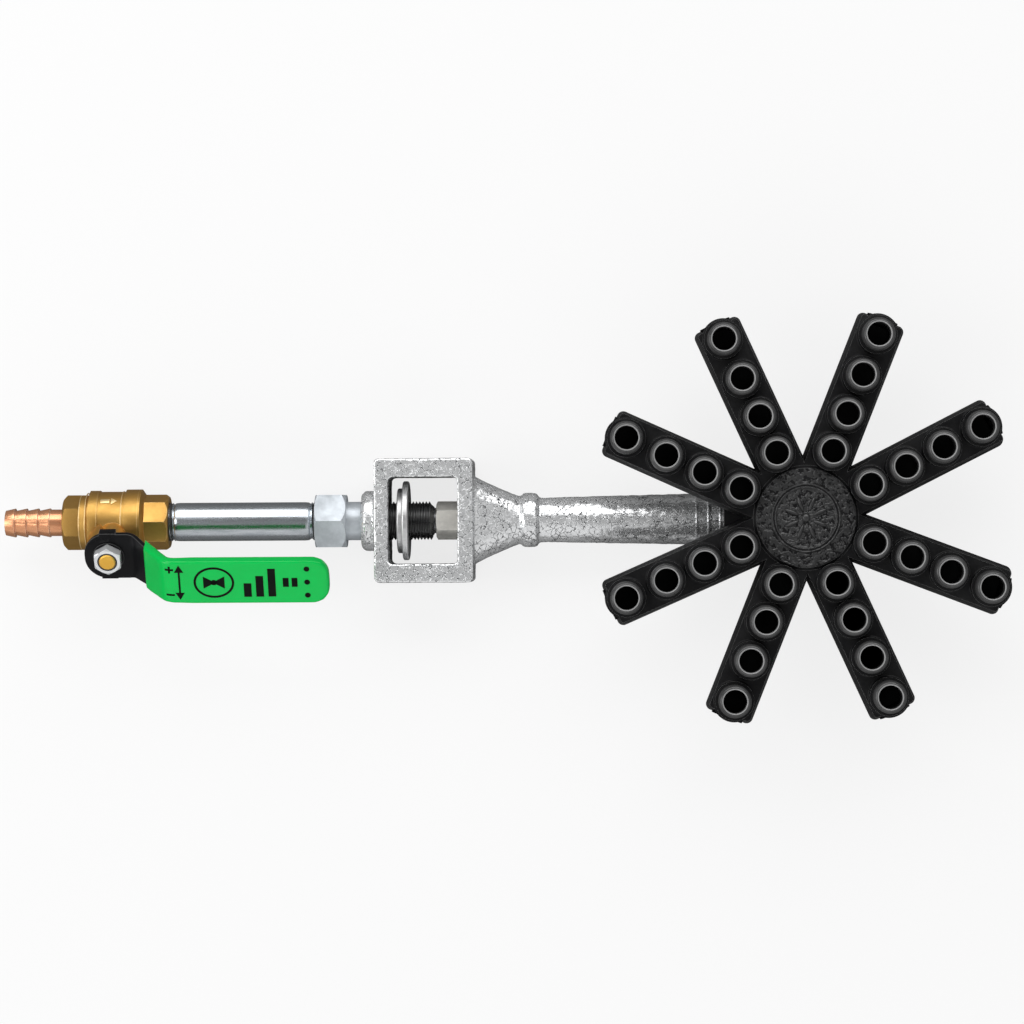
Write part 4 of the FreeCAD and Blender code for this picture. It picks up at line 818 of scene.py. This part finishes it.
def make_orifice_nipple():
    """The black nipple: its thread on a turned core, which ends in a spud inside the hood."""
    low, high = box("orifice_nipple")
    hood = box("orifice_hood")[0].x
    root = PIPE_RADIUS - NIPPLE_THREAD_DEPTH
    shoulder = hood - CONE_END
    wide, narrow = (hood - length for length in BORE_CONE)
    core = turned("nipple_core", [
        (NIPPLE_BORE, low.x), (root, low.x), (root, hood - CONE_START),
        (root - CONE_DEPTH, shoulder), (SPUD_RADIUS, shoulder), (SPUD_RADIUS, high.x),
        (SPUD_BORE, high.x), (SPUD_BORE, narrow), (NIPPLE_BORE, wide)], sides=72, along_x=True)
    smooth(core, 30)
    thread = screw_thread("nipple_thread", PIPE_RADIUS, root - THREAD_SINK,
                          low.x + NIPPLE_THREAD_START, hood - NIPPLE_RUN_OUT)
    whole = join("orifice_nipple_threaded", [thread, core])
    dress(whole, "burner", BLACK_THREAD, "black_thread", "orifice_nipple")


def make_pipe():
    """The plated pipe with the run-out of its thread at both ends."""
    low, high = box("pipe_nipple")
    root = PIPE_RADIUS - PIPE_THREAD_DEPTH
    left = VALVE_FACE + PIPE_THREAD_SHOWS
    right = COUPLING_FACE - PIPE_THREAD_SHOWS
    rings = [(PIPE_BORE, low.x), (root, low.x), (root, left)]
    rings += [(PIPE_RADIUS - depth, left + away) for depth, away in PIPE_TAPER]
    rings += [(PIPE_RADIUS - depth, right - away) for depth, away in reversed(PIPE_TAPER)]
    rings += [(root, right), (root, high.x), (PIPE_BORE, high.x)]
    pipe = smooth(turned("pipe_nipple_plated", rings, sides=96, along_x=True), 30)
    dress(pipe, "burner", ZINC_PIPE, "zinc_pipe", "pipe_nipple")
    crest = PIPE_RADIUS - PIPE_CREST_GAP
    foot = root - THREAD_SINK
    threads = [
        screw_thread("pipe_thread_left", crest, foot, VALVE_FACE - THREAD_HIDDEN,
                     left + PIPE_RUN_OUT),
        screw_thread("pipe_thread_right", crest, foot, right - PIPE_RUN_OUT,
                     COUPLING_FACE + THREAD_HIDDEN)]
    dress(join("pipe_threads", threads), "burner", ZINC_PIPE, "zinc_pipe")


def make_gap_shadow_rings():
    """Dark rings of painted shadow where the pipe enters the valve and the coupling."""
    parts = []
    for start, width in GAP_SHADOW_PLACES:
        rings = [(PIPE_RADIUS - depth, start + width * share) for depth, share in GAP_SHADOW_RING]
        parts.append(turned("gap_shadow", rings, sides=64, along_x=True))
    # These dark rings are painted shadow in the gaps, in the dark insert's material.
    dress(smooth(join("painted_gap_shadow", parts), 40), "burner", DARK_INSERT, "dark_insert")


# ---- Valve's barrel; lengths in millimetres ----
# Place along the pipe, and radius.
BARREL_LINES = ((-400.1, 14.9), (-396.6, 16.2), (-390.2, 17.4), (-376.6, 17.1), (-367.4, 18.0))
BARREL_LINE_THICKNESS = 0.32
# The arrow is wrapped on a radius just inside the valve's waist, so that its foot is sunk in.
ARROW_RADIUS = 16.85
ARROW_PLACE = -383.5
ARROW_ANGLE = math.radians(43)
ARROW_DEPTH = 0.95
ARROW_SINK = 0.3
ARROW_EDGE = 0.3
# Corners, first turn in degrees, length, width and place of the arrow's shaft and of its head.
ARROW_PARTS = ((4, 45, 5.2, 3.08, -2.1), (3, -90, 3.6, 5.04, 2.3))


def onto_barrel(thing, radius, angle):
    """Wraps a flat piece, drawn about the origin, round the pipe's axis.

    The angle is taken from straight up.
    """
    for vertex in thing.data.vertices:
        turn = angle - vertex.co.y / (radius * MM)
        out = radius * MM + vertex.co.z
        vertex.co.y = out * math.sin(turn)
        vertex.co.z = PIPE_Z * MM + out * math.cos(turn)
    return thing


def make_arrow_part(corners, turn, length, width, place):
    """One raised part of the arrow that says which way the gas flows."""
    bpy.ops.mesh.primitive_circle_add(vertices=corners, radius=MM, fill_type="NGON")
    part = bpy.context.object
    part.rotation_euler = (0, 0, math.radians(turn))
    settle(part)
    low = [min(vertex.co[axis] for vertex in part.data.vertices) for axis in (0, 1)]
    high = [max(vertex.co[axis] for vertex in part.data.vertices) for axis in (0, 1)]
    part.scale = (length * MM / (high[0] - low[0]), width * MM / (high[1] - low[1]), 1)
    part.location = (place * MM, 0, -ARROW_SINK * MM)
    settle(part)
    edit(part)
    bpy.ops.mesh.extrude_region_move(TRANSFORM_OT_translate={"value": (0, 0, ARROW_DEPTH * MM)})
    face_outward()
    use(part, "Edges", "BEVEL", width=ARROW_EDGE * MM, segments=2, limit_method="ANGLE",
        angle_limit=math.radians(30))
    onto_barrel(part, ARROW_RADIUS, ARROW_ANGLE)
    part.location = (ARROW_PLACE * MM, 0, 0)
    return settle(part)


def make_barrel_details():
    """Thin raised lines round the valve's barrel, and the plain arrow."""
    parts = [line_round_pipe(*line, BARREL_LINE_THICKNESS, sides=8) for line in BARREL_LINES]
    parts += [make_arrow_part(*part) for part in ARROW_PARTS]
    details = smooth(join("barrel_details", parts), 40)
    # Every face of the lines and the arrow takes the brass's edge colour, a painted highlight.
    mark_edges(details, lambda face: True)
    dress(details, "burner", VALVE_BRASS, "valve_brass")


# ---- Lever and grip; lengths in millimetres ----
PLATE_INSIDE = 3
PLATE_SWELL = 0.2
GRIP_VOXEL = 0.55
# The stretch of the grip, from its start, that has the bend, and the ramps at its ends.
BEND_FROM = 3
BEND_TO = 27
BEND_RAMP = 8
# How many times the whole grip and then its bend are relaxed.
GRIP_RELAX = 45
BEND_EASE = 60
# How far above the grip the ink is laid out, and how it then lies on it.
INK_START = 2
INK_LIFT = 0.06
INK_THICKNESS = 0.25
LEVER_EDGE = 0.5
LEVER_CLIP = 6


def make_grip():
    """The dipped grip: remeshed and relaxed until every edge is as round as soft vinyl."""
    plate = merged_copy("lever", "plate_inside")
    edit(plate)
    bpy.ops.mesh.bisect(plane_co=((GRIP_START + PLATE_INSIDE) * MM, 0, 0), plane_no=(-1, 0, 0),
                        use_fill=True, clear_outer=True)
    leave_edit()
    use(plate, "Swell", "DISPLACE", strength=PLATE_SWELL * MM, mid_level=0)
    grip = join("lever_grip_dipped", [plate, merged_copy("lever_grip", "grip_sleeve")])
    use(grip, "Vinyl", "REMESH", mode="VOXEL", voxel_size=GRIP_VOXEL * MM)
    use(grip, "Relax", "SMOOTH", factor=0.5, iterations=GRIP_RELAX)
    bend = grip.vertex_groups.new(name="bend")
    for vertex in grip.data.vertices:
        along = vertex.co.x / MM - GRIP_START
        share = min(1, (along - BEND_FROM) / BEND_RAMP, (BEND_TO - along) / BEND_RAMP)
        bend.add([vertex.index], max(0, share), "REPLACE")
    use(grip, "Ease", "SMOOTH", factor=0.5, iterations=BEND_EASE, vertex_group="bend")
    smooth(grip, ALL_ROUND)
    return dress(grip, "valve_lever", GREEN_VINYL, "green_vinyl", "lever_grip")


def bar(width, height, x, y):
    """A flat rectangle of ink."""
    bpy.ops.mesh.primitive_plane_add(size=MM)
    part = bpy.context.object
    part.scale = (width, height, 1)
    part.location = (x * MM, y * MM, 0)
    return settle(part)


def spot(corners, radius, x, y, turn=0, wall=0, squash=1):
    """A flat many-sided spot of ink; with a wall it is a ring."""
    bpy.ops.mesh.primitive_circle_add(vertices=corners, radius=radius * MM, fill_type="NGON")
    part = bpy.context.object
    part.rotation_euler = (0, 0, math.radians(turn))
    settle(part)
    part.scale = (squash, 1, 1)
    part.location = (x * MM, y * MM, 0)
    settle(part)
    if wall:
        edit(part)
        bpy.ops.mesh.inset(thickness=wall * MM)
        bpy.ops.mesh.delete(type="FACE")
        leave_edit()
    return part


def make_grip_marks(grip):
    """Plain printed signs; x runs along the grip from the stem, and y across it."""
    double_arrow = [bar(1.1, 13, 41.8, 0.4), spot(3, 3.0, 41.8, 8.0),
                    spot(3, 3.0, 41.8, -7.6, turn=180)]
    plus_and_minus = [bar(4.6, 1.2, 36.6, 8.1), bar(1.2, 1.55, 36.6, 9.45),
                      bar(1.2, 1.55, 36.6, 6.75), bar(4.6, 1.2, 36.6, -7.6)]
    valve_sign = [spot(48, 9.6, 60.5, 0.2, wall=1.3, squash=1.15),
                  spot(3, 4.4, 56.9, 0.2, turn=-90), spot(3, 4.4, 64.1, 0.2, turn=90),
                  spot(24, 1.7, 60.5, 0.2)]
    growing_bars = [bar(4.2, 8.5, 78.6, -4.6), bar(4.2, 13, 85.2, -2.3), bar(4.2, 17.5, 91.8, 0)]
    squares = [bar(3.2, 5.6, 99.4, 0.1), bar(3.2, 5.6, 104.2, 0.1)]
    dots = [spot(20, 1.6, 111.0, y) for y in (8.4, 0.2, -8.0)]
    ink = join("grip_marks", double_arrow + plus_and_minus + valve_sign + growing_bars
               + squares + dots)
    edit(ink)
    bpy.ops.mesh.subdivide(number_cuts=3)
    leave_edit()
    top = reach_along("lever_grip", STEM_AXIS, STEM_FOOT)[1]
    ink.rotation_euler = (STEM_TILT, 0, 0)
    ink.location = (STEM_FOOT + STEM_AXIS * (top + INK_START)) * MM
    use(ink, "Lay", "SHRINKWRAP", target=grip, wrap_method="PROJECT", wrap_mode="ABOVE_SURFACE",
        use_project_z=True, use_positive_direction=False, use_negative_direction=True,
        offset=INK_LIFT * MM)
    use(ink, "Thickness", "SOLIDIFY", thickness=INK_THICKNESS * MM, offset=-1)
    settle(ink)
    dress(ink, "valve_lever", GRIP_INK, "green_vinyl")


def make_lever():
    """The pressed lever; the corners of its far end are clipped to stay inside the round grip."""
    lever = eased_copy("lever", "lever_eased", LEVER_EDGE, segments=3)
    end = box("lever")[1].x - LEVER_CLIP
    top = reach_along("lever", STEM_AXIS, STEM_FOOT)[1]
    for side in (-1, 1):
        across = Vector((0, -STEM_AXIS.z, STEM_AXIS.y)) * side
        corner = Vector((end, STEM_FOOT.y, STEM_FOOT.z))
        corner += STEM_AXIS * top
        corner += across * reach_along("lever_grip", across, STEM_FOOT)[1]
        edit(lever)
        bpy.ops.mesh.bisect(plane_co=corner * MM, plane_no=Vector((1, 0, 0)) + across,
                            use_fill=True, clear_outer=True)
        leave_edit()
    dress(lever, "valve_lever", BLACK_LEVER, "black_lever", "lever")


# ---- Pieces whose CAD shape is right ----
# Node, width of its rounded edges in millimetres, material, slot and body.
EASED_PIECES = (
    ("orifice_hood", 0.3, HOOD_STEEL, "hood_steel", "burner"),
    ("hex_coupling", 0.5, ZINC_HEXAGON, "zinc_hexagon", "burner"),
    ("air_shutter_disc", 0.3, DARK_STEEL, "dark_steel", "shutter_disc"),
    ("shutter_lock_ring", 0.3, DARK_STEEL, "dark_steel", "shutter_carriage"),
    ("valve_body", 0.5, VALVE_BRASS, "valve_brass", "burner"),
    ("valve_end_cap", 0.4, VALVE_BRASS, "valve_brass", "burner"),
    ("hose_barb", 0.15, COPPER_BARB, "copper_barb", "burner"),
    ("packing_nut", 0.3, STEM_BRASS, "stem_brass", "burner"),
    ("valve_stem", 0.2, STEM_BRASS, "stem_brass", "valve_lever"),
    ("lever_washer", 0.15, BLACK_LEVER, "black_lever", "valve_lever"),
    ("lever_nut", 0.3, ZINC_NUT, "zinc_nut", "valve_lever"),
    ("nut_insert", 0.15, DARK_INSERT, "dark_insert", "valve_lever"),
)
# The pieces inside the valve stay as they are, and get their materials.
INNER_PIECES = (
    ("valve_ball", BALL_CHROME), ("seat_ring_outlet", WHITE_SEAL), ("seat_ring_inlet", WHITE_SEAL),
    ("stem_thrust_washer", WHITE_SEAL), ("stem_packing", WHITE_SEAL),
)


def make_plain_pieces():
    """Turned, forged and pressed pieces with eased edges, and the pieces inside the valve."""
    for node, width, material, slot, body in EASED_PIECES:
        dress(eased_copy(node, node + "_eased", width, segments=3), body, material, slot, node)
    for node, material in INNER_PIECES:
        thing = frame["nodes"][node]
        thing.data.materials.clear()
        thing.data.materials.append(material)


# ---- Table and room ----
# The table's side in metres and its height in millimetres, then its paleness and glow.
FLOOR_SIZE = 30
FLOOR_Z = -1
FLOOR_BASE = 0.16
FLOOR_SHEET = 0.16
FLOOR_GLOW = 0.783
# The room's light, and the heights and depths, as parts of a unit ball, over which it changes.
WALL_LIGHT = 0.50
CEILING_LIGHT = 0.23
CEILING_SPAN = (0.80, 0.97)
FRONT_SHARE = 1.25
BACK_SHARE = 0.4
FRONT_TO_BACK = (-0.5, 0.6)
# Name, place, target, width and depth in metres, watts, and whether polished metal mirrors it.
LIGHTS = (
    ("key", (-0.16, 1.45, 1.15), (-0.16, 0, 0), 2.8, 1.5, 34, True),
    ("fill", (-0.16, -1.5, 0.9), (-0.16, 0, 0), 2.8, 1.0, 16, False),
    ("end", (-1.3, 0, 0.9), (-0.10, 0, 0), 0.8, 0.8, 6, True),
)


def make_floor():
    """A lit acrylic table: the camera sees it glow, and the metal mirrors a plain pale sheet."""
    bpy.ops.mesh.primitive_plane_add(size=FLOOR_SIZE, location=(AIM.x * MM, 0, FLOOR_Z * MM))
    floor = bpy.context.object
    floor.name = "studio_floor"
    material = bpy.data.materials.new("studio_floor")
    material.use_nodes = True
    tree = material.node_tree
    glowing = tree.nodes["Principled BSDF"]
    glowing.inputs["Base Color"].default_value = (FLOOR_BASE, FLOOR_BASE, FLOOR_BASE, 1)
    glowing.inputs["Roughness"].default_value = 0.9
    glowing.inputs["Specular IOR Level"].default_value = 0.0
    glowing.inputs["Emission Color"].default_value = (1, 1, 1, 1)
    glowing.inputs["Emission Strength"].default_value = FLOOR_GLOW
    sheet = add(tree, "ShaderNodeBsdfDiffuse", (0, -500),
                Color=(FLOOR_SHEET, FLOOR_SHEET, FLOOR_SHEET, 1))
    path = add(tree, "ShaderNodeLightPath", (0, 400))
    pick = add(tree, "ShaderNodeMixShader", (300, 200))
    wire(tree,
         (path, "Is Camera Ray", pick, "Fac"), (sheet, "BSDF", pick, 1),
         (glowing, "BSDF", pick, 2), (pick, "Shader", tree.nodes["Material Output"], "Surface"))
    floor.data.materials.append(material)


def make_world():
    """A dim room: darker overhead, paler towards the horizon, and paler in front than behind."""
    world = bpy.data.worlds.new("studio")
    world.use_nodes = True
    bpy.context.scene.world = world
    tree = world.node_tree
    room = tree.nodes["Background"]
    room.inputs["Color"].default_value = (1, 1, 1, 1)
    way = add(tree, "ShaderNodeTexCoord", (-900, 0))
    split = add(tree, "ShaderNodeSeparateXYZ", (-700, 0))
    overhead = remap(tree, (-500, 0), CEILING_SPAN, (WALL_LIGHT, CEILING_LIGHT), "SMOOTHSTEP")
    behind = remap(tree, (-500, -300), FRONT_TO_BACK, (FRONT_SHARE, BACK_SHARE), "SMOOTHSTEP")
    both = add(tree, "ShaderNodeMath", (-250, 0), operation="MULTIPLY")
    wire(tree,
         (way, "Generated", split, "Vector"), (split, "Z", overhead, "Value"),
         (split, "Y", behind, "Value"), (overhead, "Result", both, 0),
         (behind, "Result", both, 1), (both, "Value", room, "Strength"))


def make_light(name, place, target, width, depth, power, mirrored):
    """A soft rectangular light aimed at a place."""
    data = bpy.data.lights.new(name, "AREA")
    data.shape = "RECTANGLE"
    data.size = width
    data.size_y = depth
    data.energy = power
    lamp = bpy.data.objects.new(name, data)
    lamp.location = place
    lamp.rotation_euler = (Vector(target) - Vector(place)).to_track_quat("-Z", "Y").to_euler()
    lamp.visible_glossy = mirrored
    bpy.context.scene.collection.objects.link(lamp)


# ---- Camera, in millimetres; it looks almost straight down ----
SENSOR = 36
LENS = 122.34
VIEW_DISTANCE = 1933
AIM = Vector((-160.6, 4.5, PIPE_Z))
LEAN = Vector((0.0253, -0.0095, 1.0)).normalized()
ROLL = math.radians(-0.33)


def make_camera():
    """The photograph's view."""
    data = bpy.data.cameras.new("photo_camera")
    data.sensor_width = SENSOR
    data.lens = LENS
    data.clip_end = 20
    camera = bpy.data.objects.new("photo_camera", data)
    camera.location = (AIM + VIEW_DISTANCE * LEAN) * MM
    lean = Euler((-math.asin(LEAN.y), math.atan2(LEAN.x, LEAN.z), 0)).to_quaternion()
    camera.rotation_euler = (lean @ Euler((0, 0, ROLL)).to_quaternion()).to_euler()
    bpy.context.scene.collection.objects.link(camera)
    bpy.context.scene.camera = camera


make_star()
make_jet_tips()
make_medallion()
make_plugs()
make_mixer()
make_orifice_nipple()
make_pipe()
make_gap_shadow_rings()
make_plain_pieces()
make_lever()
make_barrel_details()
make_grip_marks(make_grip())
make_floor()
make_world()
for light in LIGHTS:
    make_light(*light)
make_camera()
bpy.context.scene.view_settings.view_transform = "Standard"
